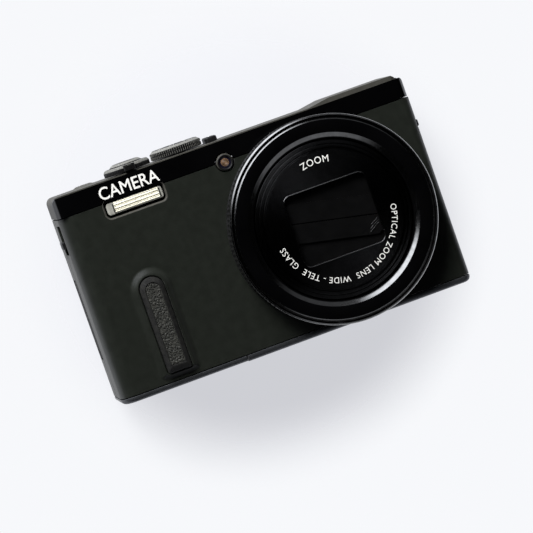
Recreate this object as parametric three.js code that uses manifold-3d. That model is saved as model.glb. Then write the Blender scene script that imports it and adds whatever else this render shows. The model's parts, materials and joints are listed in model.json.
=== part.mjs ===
// A compact travel-zoom camera, built as the assembly of pieces that it is.
// Millimetres. +Z is up, the lens faces -Y, and +X is to the right seen from the front.
// The origin is the middle of the base, so the camera stands on z = 0.
import * as THREE from 'three';
import { mergeVertices } from 'three/addons/utils/BufferGeometryUtils.js';
import Module from 'manifold-3d';

const wasm = await Module();
wasm.setup();

// ---------------------------------------------------------------- driving dimensions

const GAP = 0.3;                // clearance between pieces that touch
const WALL = 1.2;               // wall of the moulded covers

const BODY = {                  // the closed case
  halfWidth: 54.4,
  front: -10,
  back: 15,
  parting: 3.5,                 // y where the front and rear covers meet
  coverBottom: 2,               // z where the covers meet the base plate
  coverTop: 57,                 // z where the covers meet the top cover
  top: 63.3,
  frontLeftRadius: 4.75,
  frontRightRadius: 2.75,
  rearRadius: 4,
  shoulderRadius: 2.2,          // rounds both ends of the top, seen from the front
};

const BAND = { halfFront: 52.6, sideY: -6.5, top: 63, thickness: 1.1 };
const HUMP = { rampStart: 25.3, left: 31.5, right: 51.2, end: 52.6, top: 64.3, back: 12 };

const LENS = {                  // everything round the optical axis
  x: 20.3,
  z: 30.9,
  ringFront: -17.2,
  ringBack: BODY.front - GAP,
  ringRadius: 30.6,
  ringBore: 30,
  bezelRadius: 29.7,
  bezelFace: 24.8,              // the flat gloss face ends here and dips inwards
  bore: 23.2,
  housingRadius: 24.6,
  housingBack: 6.6,
};
const BARREL = { wall: 0.8, step: 1.1, outer: 22.9, front: -15.8, back: 5 };
const WINDOW = { halfWidth: 12.45, halfHeight: 10.6, corner: 2 };
const FRONT_PLATE = { radius: 20.3, front: -16.9, back: -16.4 };

const BLADE = {
  pivotX: 16.5,                 // the upper pair turns at -pivotX, the lower pair at +pivotX
  pivotRadius: 1.3,
  tipX: 12.8,
  reach: 19.3,                  // nothing may pass this radius, closed or open
  seamAngle: -12,
  seamOffset: 5.4,              // from the middle seam to the seam between inner and outer blade
  innerTurn: 33,
  outerTurn: 13,
  thickness: 0.3,
  innerLayer: -15.7,            // y of the front of each layer
  outerLayer: -15.1,
};

const FLASH = { left: -40.2, right: -23.2, bottom: 53.2, cut: 52.9 };
const AF_LAMP = { x: -3.4, z: 56.7, ring: 2.6, dome: 1.7 };
const GRIP = { x: -35.65, bottom: 3.2, top: 35.6, halfWidth: 6.15, height: 1.3 };
const PAD = { halfWidth: 3.6, bottom: 4.8, top: 33, height: 1 };

const SHUTTER = { x: -29.9, y: -1.5, leverRadius: 6.95, buttonRadius: 4.9, top: 66.5 };
const MODE_DIAL = { x: -14, y: 3.5, radius: 7.8, top: 66.3 };
const POWER = { x: -3.7, y: 2.5, width: 3.6, depth: 8, top: 65 };
const MOVIE = { x: -43, y: 5, radius: 3.2, top: 63.9 };

const DOOR = { right: -16.1, bottom: 0.2, chamfer: 0.5 };
const LATCH = { x: -49, y: -4, halfWidth: 1.7, halfDepth: 3, travel: 3 };
const LUG = { y: -1.1, bottom: 48.2, top: 50.3, reach: 55.3, bar: 0.9, halfSpan: 3.3 };
const LUG_RECESS = { bottom: 46.2, top: 55, halfDepth: 4.6, depth: 1.2 };
const DIOPTER = { x: 52.3, y: -5, radius: 3, bottom: 47.7, top: 49.7 };
const SIDE_DOOR = { front: 4.6, back: 10.6, bottom: 14, top: 38 };

const LCD = { left: -20.6, right: 49.8, bottom: 4.4, top: 47.6, proud: 15.4, back: 14.2 };
const EYEPIECE = { left: 36.5, right: 51.5, bottom: 49.6, top: 60.8, face: 17.2 };
const FINDER = { left: 38.7, right: 49.3, bottom: 51.5, top: 59.3, front: -2, back: 16 };
const CURSOR = { x: -35.5, z: 24.5, ring: 10.2, bore: 5, set: 4.6 };
const REAR_BUTTON = { radius: 2.7, back: 15.5, front: 12.9 };
const SMALL_BUTTONS = {         // x and z of the four round keys on the back
  playback_button: [-28, 43.5],
  viewfinder_button: [29, 54],
  quick_menu_button: [-28, 8.5],
  display_button: [-43, 8.5],
};

const BATTERY = { width: 35.6, depth: 7.8, left: -52.3, bottom: 2.4, top: 44.9, front: -7 };
const CARD = { left: -46, right: -22, bottom: 2.6, top: 34.6, front: 1.8, thickness: 2.1 };
const TRIPOD = { x: 2, y: 4, radius: 3.175, outer: 5.2, depth: 6.5, height: 8 };

const THROUGH = {               // where a hole's cutter starts and ends, on each side of a wall
  front: [-12, -8],
  back: [12, 16],
  top: [61, 65],
  base: [-1, 3],
};
const SIDE_SOCKET = { left: -52.6, right: -47.2, front: 5.8, back: 9.4, wall: 0.4 };
const THUMB_REST = { left: -52, right: -40.5, bottom: 36.5, top: 52, face: 16.7 };

const ROUND = { ring: 60, barrel: 44, dial: 32, button: 22, small: 14 };

// ---------------------------------------------------------------- finishes

const finish = (color, roughness, metalness = 0) => ({ color, roughness, metalness });
const MATTE_BLACK = finish(0x232523, 0.6);
const TOP_GREY = finish(0x3a3a37, 0.55);
const GLOSS_BLACK = finish(0x0c0c0d, 0.12);
const SATIN_BLACK = finish(0x181819, 0.35, 0.3);
const RUBBER = finish(0x151515, 0.8);
const CLEAR = finish(0xdadccf, 0.1);
const LENS_GLASS = finish(0x1a2230, 0.05);
const AMBER = finish(0x8a4a20, 0.2);
const STEEL = finish(0x9a9c9e, 0.35, 1);
const SILVER = finish(0xd8d8d4, 0.25, 1);
const BOARD_GREEN = finish(0x1f5a36, 0.5);
const CHIP = finish(0x1b1b1d, 0.4);
const CELL_GREY = finish(0x4a4c50, 0.5);
const CARD_BLUE = finish(0x2a3a66, 0.5);

// ---------------------------------------------------------------- solids from three.js shapes

function welded(geometry) {
  const bare = new THREE.BufferGeometry();
  bare.setAttribute('position', geometry.getAttribute('position'));
  if (geometry.index) bare.setIndex(geometry.index);
  return mergeVertices(bare, 1e-4);
}

function signedVolume(positions, triangles) {
  const corners = [new THREE.Vector3(), new THREE.Vector3(), new THREE.Vector3()];
  let volume = 0;
  for (let i = 0; i < triangles.length; i += 3) {
    corners.forEach((corner, k) => corner.fromArray(positions, 3 * triangles[i + k]));
    volume += corners[0].dot(corners[1].clone().cross(corners[2])) / 6;
  }
  return volume;
}

function solid(geometry) {
  const mesh = welded(geometry);
  const positions = Float32Array.from(mesh.getAttribute('position').array);
  const index = mesh.index.array;
  const triangles = [];
  for (let i = 0; i < index.length; i += 3) {
    const [a, b, c] = [index[i], index[i + 1], index[i + 2]];
    if (a !== b && b !== c && c !== a) triangles.push(a, b, c);
  }
  if (signedVolume(positions, triangles) < 0) triangles.reverse();
  return new wasm.Manifold(new wasm.Mesh({
    numProp: 3,
    vertProperties: positions,
    triVerts: Uint32Array.from(triangles),
  }));
}

const cut = (body, ...tools) => tools.reduce((left, tool) => left.subtract(tool), body);
const join = (body, ...others) => others.reduce((sum, other) => sum.add(other), body);

// A box from its lowest to its highest corner.
function box(x0, x1, y0, y1, z0, z1) {
  const geometry = new THREE.BoxGeometry(x1 - x0, y1 - y0, z1 - z0);
  return solid(geometry.translate((x0 + x1) / 2, (y0 + y1) / 2, (z0 + z1) / 2));
}

// A flat outline in x and y, raised from z0 to z1. A chamfer rounds off both ends.
function raised(shape, z0, z1, { chamfer = 0, segments = 6 } = {}) {
  const geometry = new THREE.ExtrudeGeometry(shape, {
    depth: z1 - z0 - 2 * chamfer,
    curveSegments: segments,
    bevelEnabled: chamfer > 0,
    bevelThickness: chamfer,
    bevelSize: chamfer,
    bevelOffset: -chamfer,
    bevelSegments: 1,
  });
  return solid(welded(geometry).translate(0, 0, z0 + chamfer));
}

// A flat outline in x and z, pushed from y0 back to y1.
function pushed(shape, y0, y1, { chamfer = 0, segments = 6 } = {}) {
  const geometry = new THREE.ExtrudeGeometry(shape, {
    depth: y1 - y0 - 2 * chamfer,
    curveSegments: segments,
    bevelEnabled: chamfer > 0,
    bevelThickness: chamfer,
    bevelSize: chamfer,
    bevelOffset: -chamfer,
    bevelSegments: 1,
  });
  return solid(welded(geometry).rotateX(Math.PI / 2).translate(0, y1 - chamfer, 0));
}

// A profile of [radius, height] points turned about the Y axis; it closes on itself or on the axis.
function turnedAboutY(profile, segments) {
  const points = profile.map(([radius, y]) => new THREE.Vector2(radius, y));
  if (profile[0][0] > 0) points.push(points[0].clone());
  return solid(new THREE.LatheGeometry(points, segments));
}

// The same about the Z axis, with heights in z.
function turnedAboutZ(profile, segments) {
  const points = profile.map(([radius, z]) => new THREE.Vector2(radius, z));
  if (profile[0][0] > 0) points.push(points[0].clone());
  return solid(welded(new THREE.LatheGeometry(points, segments)).rotateX(Math.PI / 2));
}

const discY = (radius, y0, y1, segments) =>
  turnedAboutY([[0, y0], [radius, y0], [radius, y1], [0, y1]], segments);
const discZ = (radius, z0, z1, segments) =>
  turnedAboutZ([[0, z0], [radius, z0], [radius, z1], [0, z1]], segments);

// A solid moved to its place before it cuts or joins another.
const moved = (body, x, y, z) => body.translate([x, y, z]);

// ---------------------------------------------------------------- flat outlines

function polygon(points) {
  return new THREE.Shape(points.map(([x, y]) => new THREE.Vector2(x, y)));
}

// A rectangle with its own radius at each corner, counter-clockwise from the lower left.
function roundedRectangle(x0, y0, x1, y1, radii) {
  const [a, b, c, d] = Array.isArray(radii) ? radii : [radii, radii, radii, radii];
  const shape = new THREE.Shape();
  const quarter = Math.PI / 2;
  shape.moveTo(x0 + a, y0);
  shape.lineTo(x1 - b, y0);
  shape.absarc(x1 - b, y0 + b, b, -quarter, 0, false);
  shape.lineTo(x1, y1 - c);
  shape.absarc(x1 - c, y1 - c, c, 0, quarter, false);
  shape.lineTo(x0 + d, y1);
  shape.absarc(x0 + d, y1 - d, d, quarter, 2 * quarter, false);
  shape.lineTo(x0, y0 + a);
  shape.absarc(x0 + a, y0 + a, a, 2 * quarter, 3 * quarter, false);
  return shape;
}

// A strip with a square lower end and a half-round upper end.
function archOutline(x, halfWidth, bottom, top, corner) {
  const shape = new THREE.Shape();
  shape.moveTo(x - halfWidth + corner, bottom);
  shape.lineTo(x + halfWidth - corner, bottom);
  shape.absarc(x + halfWidth - corner, bottom + corner, corner, -Math.PI / 2, 0, false);
  shape.lineTo(x + halfWidth, top - halfWidth);
  shape.absarc(x, top - halfWidth, halfWidth, 0, Math.PI, false);
  shape.lineTo(x - halfWidth, bottom + corner);
  shape.absarc(x - halfWidth + corner, bottom + corner, corner, Math.PI, 1.5 * Math.PI, false);
  return shape;
}

// The case seen from above, drawn in from its outer surface by an inset.
function bodyOutline(inset = 0) {
  const half = BODY.halfWidth - inset;
  const radii = [BODY.frontLeftRadius, BODY.frontRightRadius, BODY.rearRadius, BODY.rearRadius];
  return roundedRectangle(-half, BODY.front + inset, half, BODY.back - inset,
    radii.map((radius) => radius - inset));
}

// ---------------------------------------------------------------- the scene graph

const camera = new THREE.Group();

function add(parent, name, body, look) {
  const { vertProperties, triVerts } = body.getMesh();
  const geometry = new THREE.BufferGeometry();
  geometry.setAttribute('position', new THREE.BufferAttribute(vertProperties, 3));
  geometry.setIndex(new THREE.BufferAttribute(triVerts, 1));
  geometry.computeVertexNormals();
  const mesh = new THREE.Mesh(geometry, new THREE.MeshStandardMaterial(look));
  mesh.name = name;
  parent.add(mesh);
  return mesh;
}

function groupAt(x, y, z) {
  const group = new THREE.Group();
  group.position.set(x, y, z);
  camera.add(group);
  return group;
}

// ---------------------------------------------------------------- covers

const caseWall = (z0, z1) =>
  cut(raised(bodyOutline(), z0, z1), raised(bodyOutline(WALL), z0 - 1, z1 + 1));
const wide = BODY.halfWidth + 1;

function frontCover() {
  const z0 = BODY.coverBottom + GAP / 2;
  const z1 = BODY.coverTop - GAP / 2;
  const half = box(-wide, wide, BODY.front - 1, BODY.parting - GAP / 2, z0, z1);
  const boss = pushed(archOutline(GRIP.x, GRIP.halfWidth, GRIP.bottom, GRIP.top, 1.5),
    BODY.front - GRIP.height, BODY.front + 2 * GRIP.height, { chamfer: GRIP.height })
    .intersect(box(-wide, 0, BODY.front - 2, BODY.front + 0.6, 0, BODY.coverTop));
  const recessWall = box(-BODY.halfWidth + LUG_RECESS.depth, -52.6, LUG.y - LUG_RECESS.halfDepth - 1,
    BODY.parting - GAP / 2, LUG_RECESS.bottom - 0.6, LUG_RECESS.top + 0.6);
  const recess = box(-wide, -BODY.halfWidth + LUG_RECESS.depth, LUG.y - LUG_RECESS.halfDepth,
    LUG.y + LUG_RECESS.halfDepth - 1, LUG_RECESS.bottom, LUG_RECESS.top);
  const lensHole = moved(discY(LENS.housingRadius + GAP, ...THROUGH.front, ROUND.ring), LENS.x, 0, LENS.z);
  const flashHole = box(FLASH.left - GAP, FLASH.right + GAP, ...THROUGH.front, FLASH.cut, BODY.coverTop);
  const lampHole = moved(discY(AF_LAMP.ring + GAP, ...THROUGH.front, ROUND.button), AF_LAMP.x, 0, AF_LAMP.z);
  const wheelSlot = box(50.6, wide, DIOPTER.y - DIOPTER.radius - GAP, DIOPTER.y + DIOPTER.radius + GAP,
    DIOPTER.bottom - GAP, DIOPTER.top + GAP);
  const shell = join(caseWall(z0, z1).intersect(half), boss, recessWall);
  return cut(shell, recess, lensHole, flashHole, lampHole, wheelSlot);
}

function rearCover() {
  const z0 = BODY.coverBottom + GAP / 2;
  const z1 = BODY.coverTop - GAP / 2;
  const half = box(-wide, wide, BODY.parting + GAP / 2, BODY.back + 1, z0, z1);
  const screenHole = box(LCD.left - GAP, LCD.right + GAP, ...THROUGH.back, LCD.bottom - GAP, LCD.top + GAP);
  const finderHole = box(FINDER.left - GAP, FINDER.right + GAP, ...THROUGH.back,
    FINDER.bottom - GAP, FINDER.top + GAP);
  const sideDoorHole = box(-wide, -52, SIDE_DOOR.front - GAP, SIDE_DOOR.back + GAP,
    SIDE_DOOR.bottom - GAP, SIDE_DOOR.top + GAP);
  const cursorHole = moved(discY(CURSOR.ring + GAP, ...THROUGH.back, ROUND.dial), CURSOR.x, 0, CURSOR.z);
  const keyHoles = Object.values(SMALL_BUTTONS).map(([x, z]) =>
    moved(discY(REAR_BUTTON.radius + GAP, ...THROUGH.back, ROUND.small), x, 0, z));
  return cut(caseWall(z0, z1).intersect(half),
    screenHole, finderHole, sideDoorHole, cursorHole, ...keyHoles);
}

// The top's outline from above, with a chamfered front corner on each side.
function topOutline(inset, frontY) {
  const half = BODY.halfWidth - inset;
  const back = BODY.back - inset;
  const radius = BODY.rearRadius - inset;
  const shape = new THREE.Shape();
  const corner = BAND.halfFront - inset * 0.75;
  shape.moveTo(-corner, frontY);
  shape.lineTo(corner, frontY);
  shape.lineTo(half, BAND.sideY);
  shape.lineTo(half, back - radius);
  shape.absarc(half - radius, back - radius, radius, 0, Math.PI / 2, false);
  shape.lineTo(radius - half, back);
  shape.absarc(radius - half, back - radius, radius, Math.PI / 2, Math.PI, false);
  shape.lineTo(-half, BAND.sideY);
  return shape;
}

// What lies outside the round of both shoulders.
function shoulderCutters() {
  const radius = BODY.shoulderRadius;
  const centreZ = BODY.top - radius;
  return [-1, 1].map((side) => {
    const centreX = side * (BODY.halfWidth - radius);
    const corner = box(Math.min(centreX, side * wide), Math.max(centreX, side * wide),
      BODY.front - 1, BODY.back + 1, centreZ, HUMP.top + 1);
    return cut(corner, moved(discY(radius, BODY.front - 2, BODY.back + 2, ROUND.dial), centreX, 0, centreZ));
  });
}

function frontTrimBand() {
  const z0 = BODY.coverTop + GAP / 2;
  const outer = raised(topOutline(0, BODY.front), z0, BAND.top);
  const inner = raised(topOutline(BAND.thickness, BODY.front + BAND.thickness), z0 - 1, BAND.top + 1);
  const front = box(-wide, wide, BODY.front - 1, BAND.sideY + 0.3, z0, BAND.top);
  const lampHole = moved(discY(AF_LAMP.ring + GAP, ...THROUGH.front, ROUND.button), AF_LAMP.x, 0, AF_LAMP.z);
  return cut(outer.intersect(front), inner, lampHole, ...shoulderCutters());
}

function topCover() {
  const z0 = BODY.coverTop + GAP / 2;
  const frontY = BODY.front + BAND.thickness + GAP;
  const outer = raised(topOutline(0, BODY.front), z0, BODY.top);
  const inner = raised(topOutline(WALL, BODY.front + WALL), z0 - 1, BODY.top - WALL);
  const behindBand = join(
    box(-wide, wide, BAND.sideY + 0.6, BODY.back + 1, z0, HUMP.top),
    raised(topOutline(BAND.thickness + GAP, frontY), z0, HUMP.top));
  const humpSide = polygon([[HUMP.rampStart, BODY.top - 1], [HUMP.rampStart, BODY.top],
    [HUMP.left, HUMP.top], [HUMP.right, HUMP.top], [HUMP.end, BODY.top], [HUMP.end, BODY.top - 1]]);
  const hump = pushed(humpSide, frontY, HUMP.back).intersect(behindBand);
  const finderHole = box(FINDER.left - GAP, FINDER.right + GAP, ...THROUGH.back,
    BODY.coverTop - 1, FINDER.top + GAP);
  const stemHoles = [
    moved(discZ(2.3, ...THROUGH.top, ROUND.small), SHUTTER.x, SHUTTER.y, 0),
    moved(discZ(3.3, ...THROUGH.top, ROUND.small), MODE_DIAL.x, MODE_DIAL.y, 0),
    moved(discZ(MOVIE.radius + GAP, ...THROUGH.top, ROUND.small), MOVIE.x, MOVIE.y, 0),
    box(POWER.x - POWER.width / 2 - GAP, POWER.x + POWER.width / 2 + GAP,
      POWER.y - POWER.depth / 2 - GAP, POWER.y + POWER.depth / 2 + GAP, ...THROUGH.top),
  ];
  return cut(join(cut(outer.intersect(behindBand), inner), hump),
    finderHole, ...stemHoles, ...shoulderCutters());
}

// The base is one chamfered plate, parted into the fixed base and the battery door.
const basePlate = (bottom) =>
  raised(bodyOutline(), bottom, bottom + 4, { chamfer: DOOR.chamfer });

function bottomCover() {
  const top = BODY.coverBottom - GAP / 2;
  const right = box(DOOR.right + GAP, wide, BODY.front - 1, BODY.back + 1, -1, top);
  const socketHole = moved(discZ(TRIPOD.radius + 0.8, ...THROUGH.base, ROUND.button), TRIPOD.x, TRIPOD.y, 0);
  const screwHoles = BASE_SCREWS.map(([x, y]) => moved(discZ(1.5, ...THROUGH.base, ROUND.small), x, y, 0));
  return cut(basePlate(0).intersect(right), socketHole, ...screwHoles);
}

function batteryDoor() {
  const top = BODY.coverBottom - GAP / 2;
  const left = box(-wide, DOOR.right, BODY.front - 1, BODY.back + 1, -1, top);
  const latchPocket = box(LATCH.x - LATCH.halfWidth - GAP, LATCH.x + LATCH.halfWidth + GAP,
    LATCH.y - LATCH.halfDepth - GAP, LATCH.y + LATCH.halfDepth + LATCH.travel + GAP, -1, 1.3);
  return cut(basePlate(DOOR.bottom).intersect(left), latchPocket);
}

const BASE_SCREWS = [[46, 9], [-9, 10]];

function baseScrew() {
  const head = discZ(1.2, 0.3, 1.1, ROUND.small);
  const shank = discZ(0.7, 1, 4, ROUND.small);
  const slot = box(-0.9, 0.9, -0.18, 0.18, 0, 0.7);
  return cut(join(head, shank), slot);
}

function tripodSocket() {
  const flange = discZ(TRIPOD.outer, 2.2, 3.6, ROUND.button);
  const tube = discZ(TRIPOD.radius + 0.6, 0.2, TRIPOD.height, ROUND.button);
  const thread = discZ(TRIPOD.radius, -1, TRIPOD.depth, ROUND.button);
  return cut(join(flange, tube), thread);
}

add(camera, 'front_cover', frontCover(), MATTE_BLACK);
add(camera, 'rear_cover', rearCover(), MATTE_BLACK);
add(camera, 'top_cover', topCover(), TOP_GREY);
add(camera, 'front_trim_band', frontTrimBand(), GLOSS_BLACK);
add(camera, 'bottom_cover', bottomCover(), MATTE_BLACK);
add(camera, 'battery_door', batteryDoor(), MATTE_BLACK);
BASE_SCREWS.forEach(([x, y], i) =>
  add(groupAt(x, y, 0), `base_screw_${i + 1}`, baseScrew(), STEEL));
add(groupAt(TRIPOD.x, TRIPOD.y, 0), 'tripod_socket', tripodSocket(), STEEL);

const latchOutline = roundedRectangle(-LATCH.halfWidth, -LATCH.halfDepth,
  LATCH.halfWidth, LATCH.halfDepth, 0.5);
add(groupAt(LATCH.x, LATCH.y, 0), 'door_latch', raised(latchOutline, 0.05, 0.95, { segments: 3 }), TOP_GREY);

// ---------------------------------------------------------------- front details

const padFoot = BODY.front - GRIP.height - GAP;
const pad = pushed(archOutline(GRIP.x, PAD.halfWidth, PAD.bottom, PAD.top, 0.6),
  padFoot - PAD.height, padFoot, { chamfer: 0.4 });
add(camera, 'grip_insert', pad, RUBBER);

const flashPane = roundedRectangle(FLASH.left, FLASH.bottom, FLASH.right, BODY.coverTop - GAP, 0.8);
add(camera, 'flash_window', pushed(flashPane, BODY.front + 0.2, BODY.front + 1.2, { segments: 3 }), CLEAR);

function flashReflector() {
  const middle = (FLASH.bottom + BODY.coverTop) / 2;
  const trough = cut(box(-38.6, -24.2, BODY.front + 1.5, BODY.front + 7, 53.4, 56.8),
    box(-37.8, -25, BODY.front + 1.4, BODY.front + 5.4, 53.9, 56.3));
  const tube = box(-39.4, -23.4, BODY.front + 3.2, BODY.front + 4.6, middle - 0.7, middle + 0.7);
  return join(trough, tube);
}
add(camera, 'flash_reflector', flashReflector(), SILVER);

const lampProfile = [[0, -8.2], [AF_LAMP.ring, -8.2], [AF_LAMP.ring, -10.25], [AF_LAMP.dome + 0.3, -10.25],
  [AF_LAMP.dome, -10], [1.1, -10.35], [0, -10.5]];
add(groupAt(AF_LAMP.x, 0, AF_LAMP.z), 'af_lamp_window', turnedAboutY(lampProfile, ROUND.button), AMBER);

// ---------------------------------------------------------------- lens

const lens = groupAt(LENS.x, 0, LENS.z);

const ringProfile = [[LENS.ringBore, LENS.ringBack], [LENS.ringBore, LENS.ringFront],
  [LENS.ringRadius - 0.5, LENS.ringFront], [LENS.ringRadius, LENS.ringFront + 0.7],
  [LENS.ringRadius, LENS.ringBack]];
add(lens, 'control_ring', turnedAboutY(ringProfile, ROUND.ring), SATIN_BLACK);

const bezelProfile = [[LENS.bore, LENS.ringBack], [LENS.bore, -15.6], [LENS.bezelFace, LENS.ringFront + 0.15],
  [LENS.bezelRadius, LENS.ringFront + 0.15], [LENS.bezelRadius, LENS.ringBack]];
add(lens, 'lens_bezel', turnedAboutY(bezelProfile, ROUND.ring), GLOSS_BLACK);

function lensHousing() {
  const tube = turnedAboutY([[LENS.bore, LENS.ringBack + GAP], [LENS.housingRadius, LENS.ringBack + GAP],
    [LENS.housingRadius, LENS.housingBack], [LENS.bore, LENS.housingBack]], ROUND.barrel);
  const flange = turnedAboutY([[LENS.bore + 0.5, -8.5], [LENS.housingRadius + 1.4, -8.5],
    [LENS.housingRadius + 1.4, -7.3], [LENS.bore + 0.5, -7.3]], ROUND.barrel);
  const rear = discY(LENS.bore + 0.4, LENS.housingBack - 0.9, LENS.housingBack, ROUND.barrel);
  const sensorWindow = box(-5, 5, 4, 8, -4, 4);
  return cut(join(tube, flange, rear), sensorWindow);
}
add(lens, 'lens_housing', lensHousing(), MATTE_BLACK);

function barrel(stage) {
  const outer = BARREL.outer - stage * BARREL.step;
  const inner = outer - BARREL.wall;
  const front = BARREL.front - 0.2 * stage;
  return turnedAboutY([[inner, front], [outer - 0.2, front], [outer, front + 0.2],
    [outer, BARREL.back], [inner, BARREL.back]], ROUND.barrel);
}
add(lens, 'barrel_outer', barrel(0), SATIN_BLACK);
add(lens, 'barrel_middle', barrel(1), SATIN_BLACK);

// The front barrel has a web that carries the front lens.
const lensSeat = turnedAboutY([[10.8, -13.6], [20.3, -13.6], [20.3, -12.4], [10.8, -12.4]],
  ROUND.barrel);
add(lens, 'barrel_front', join(barrel(2), lensSeat), SATIN_BLACK);

function frontPlate() {
  const windowOutline = roundedRectangle(-WINDOW.halfWidth, -WINDOW.halfHeight,
    WINDOW.halfWidth, WINDOW.halfHeight, WINDOW.corner);
  const disc = discY(FRONT_PLATE.radius, FRONT_PLATE.front, FRONT_PLATE.back, ROUND.barrel);
  return cut(disc, pushed(windowOutline, FRONT_PLATE.front - 1, FRONT_PLATE.back + 1, { segments: 4 }));
}
add(lens, 'front_plate', frontPlate(), SATIN_BLACK);

// Half-plane on one side of a seam: a wide block whose edge lies along the seam.
function seamBlock(offset, side) {
  const reach = 40;
  const low = side > 0 ? offset : offset - reach;
  const geometry = new THREE.BoxGeometry(2 * reach, 2, reach);
  geometry.translate(0, 0, low + reach / 2);
  geometry.rotateY(-THREE.MathUtils.degToRad(BLADE.seamAngle));
  return solid(geometry);
}

// Room for a blade that turns by an angle about its pivot without meeting the barrel wall.
function turningRoom(turn) {
  const angle = -THREE.MathUtils.degToRad(turn);
  const centreX = -BLADE.pivotX + BLADE.pivotX * Math.cos(angle);
  const centreZ = BLADE.pivotX * Math.sin(angle);
  const closed = discY(BLADE.reach, -1, 1, ROUND.barrel);
  return closed.intersect(moved(discY(BLADE.reach, -1, 1, ROUND.barrel), centreX, 0, centreZ));
}

// An upper blade, closed, with the pivot at -pivotX. The lower blades are the same turned half round.
function blade(seam, farSeam, armEdge, turn) {
  const room = turningRoom(turn);
  const edge = THREE.MathUtils.degToRad(BLADE.seamAngle);
  const field = box(-BLADE.reach, BLADE.tipX, -1, 1, -20, 20)
    .intersect(seamBlock(seam, 1)).intersect(seamBlock(farSeam, -1));
  const armTop = Math.tan(edge) * armEdge + seam / Math.cos(edge) + 3;
  const arm = box(-BLADE.pivotX - BLADE.pivotRadius, armEdge, -1, 1, -BLADE.pivotRadius, armTop);
  const layer = box(-30, 30, -BLADE.thickness / 2, BLADE.thickness / 2, -30, 30);
  return join(field, arm).intersect(room).intersect(layer);
}

const innerBlade = blade(GAP / 2, BLADE.seamOffset + 0.4, -13.2, BLADE.innerTurn);
const outerBlade = blade(BLADE.seamOffset, 30, -13.2, BLADE.outerTurn);
const layerCentre = (front) => front + BLADE.thickness / 2;
const BLADE_PAIRS = [['inner', innerBlade, BLADE.innerLayer], ['outer', outerBlade, BLADE.outerLayer]];
for (const [name, shape, front] of BLADE_PAIRS) {
  const upper = add(lens, `blade_upper_${name}`, shape, MATTE_BLACK);
  upper.position.y = layerCentre(front);
  const lower = add(lens, `blade_lower_${name}`, shape, MATTE_BLACK);
  lower.position.y = layerCentre(front);
  lower.rotation.y = Math.PI;
}

// Front lens, zoom group and focus group, each a glass stack in its ring.
add(lens, 'front_lens', turnedAboutY([[0, -14.4], [4, -14.25], [7.5, -13.8], [10.5, -13.1],
  [10.5, -11.6], [0, -11.6]], ROUND.dial), LENS_GLASS);
add(lens, 'zoom_lens_group', turnedAboutY([[0, -9], [6, -8.8], [9, -8], [17.5, -8], [17.5, -6.6], [9, -6.6],
  [9, -5], [0, -5]], ROUND.dial), LENS_GLASS);
add(lens, 'focus_lens_group', turnedAboutY([[0, 0], [4.5, 0.3], [12, 0.3], [12, 1.5], [4.5, 1.5],
  [0, 2]], ROUND.dial), LENS_GLASS);

// ---------------------------------------------------------------- controls on the top

const shutterAxis = groupAt(SHUTTER.x, SHUTTER.y, 0);

function zoomLever() {
  const foot = BODY.top + GAP;
  const ring = turnedAboutZ([[5.2, foot], [SHUTTER.leverRadius, foot], [SHUTTER.leverRadius, 65.2],
    [SHUTTER.leverRadius - 0.4, 65.6], [5.2, 65.6]], ROUND.dial);
  const tab = raised(roundedRectangle(-1.7, -8.2, 1.7, -5.6, 0.7), foot + 0.2, 65.4, { segments: 4 });
  return join(ring, tab);
}
add(shutterAxis, 'zoom_lever', zoomLever(), SATIN_BLACK);

const shutterProfile = [[0, 61.5], [2, 61.5], [2, 64], [4.6, 64], [SHUTTER.buttonRadius, 64.4],
  [SHUTTER.buttonRadius, 65.7], [4.3, 66.3], [2.4, SHUTTER.top], [0, SHUTTER.top - 0.05]];
add(shutterAxis, 'shutter_button', turnedAboutZ(shutterProfile, ROUND.button), GLOSS_BLACK);

const dialFoot = BODY.top + GAP;
const dialProfile = [[0, 61.5], [3, 61.5], [3, dialFoot], [MODE_DIAL.radius - 0.3, dialFoot],
  [MODE_DIAL.radius, dialFoot + 0.3], [MODE_DIAL.radius, MODE_DIAL.top - 0.8],
  [MODE_DIAL.radius - 1.1, MODE_DIAL.top], [0, MODE_DIAL.top]];
add(groupAt(MODE_DIAL.x, MODE_DIAL.y, 0), 'mode_dial', turnedAboutZ(dialProfile, ROUND.dial), SATIN_BLACK);

const powerOutline = roundedRectangle(-POWER.width / 2, -POWER.depth / 2,
  POWER.width / 2, POWER.depth / 2, 1);
add(groupAt(POWER.x, POWER.y, 0), 'power_button',
  raised(powerOutline, 62, POWER.top, { chamfer: 0.3 }), TOP_GREY);

const movieProfile = [[0, 61.8], [MOVIE.radius, 61.8], [MOVIE.radius, 63.5],
  [2.4, MOVIE.top], [0, MOVIE.top]];
add(groupAt(MOVIE.x, MOVIE.y, 0), 'movie_button', turnedAboutZ(movieProfile, ROUND.button), TOP_GREY);

// ---------------------------------------------------------------- controls on the sides and back

add(groupAt(DIOPTER.x, DIOPTER.y, 0), 'diopter_dial',
  discZ(DIOPTER.radius, DIOPTER.bottom, DIOPTER.top, ROUND.button), SATIN_BLACK);

function strapLug() {
  const inner = -BODY.halfWidth + LUG_RECESS.depth - GAP;
  const bar = box(-LUG.reach, -LUG.reach + LUG.bar, LUG.y - LUG.halfSpan, LUG.y + LUG.halfSpan,
    LUG.bottom, LUG.top);
  const legs = [-1, 1].map((side) => {
    const y = LUG.y + side * (LUG.halfSpan - LUG.bar / 2);
    return box(-LUG.reach, inner, y - LUG.bar / 2, y + LUG.bar / 2, LUG.bottom, LUG.top);
  });
  return join(bar, ...legs);
}
add(camera, 'strap_lug', strapLug(), STEEL);

add(camera, 'terminal_door', box(-BODY.halfWidth, -BODY.halfWidth + WALL, SIDE_DOOR.front, SIDE_DOOR.back,
  SIDE_DOOR.bottom, SIDE_DOOR.top), RUBBER);

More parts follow.
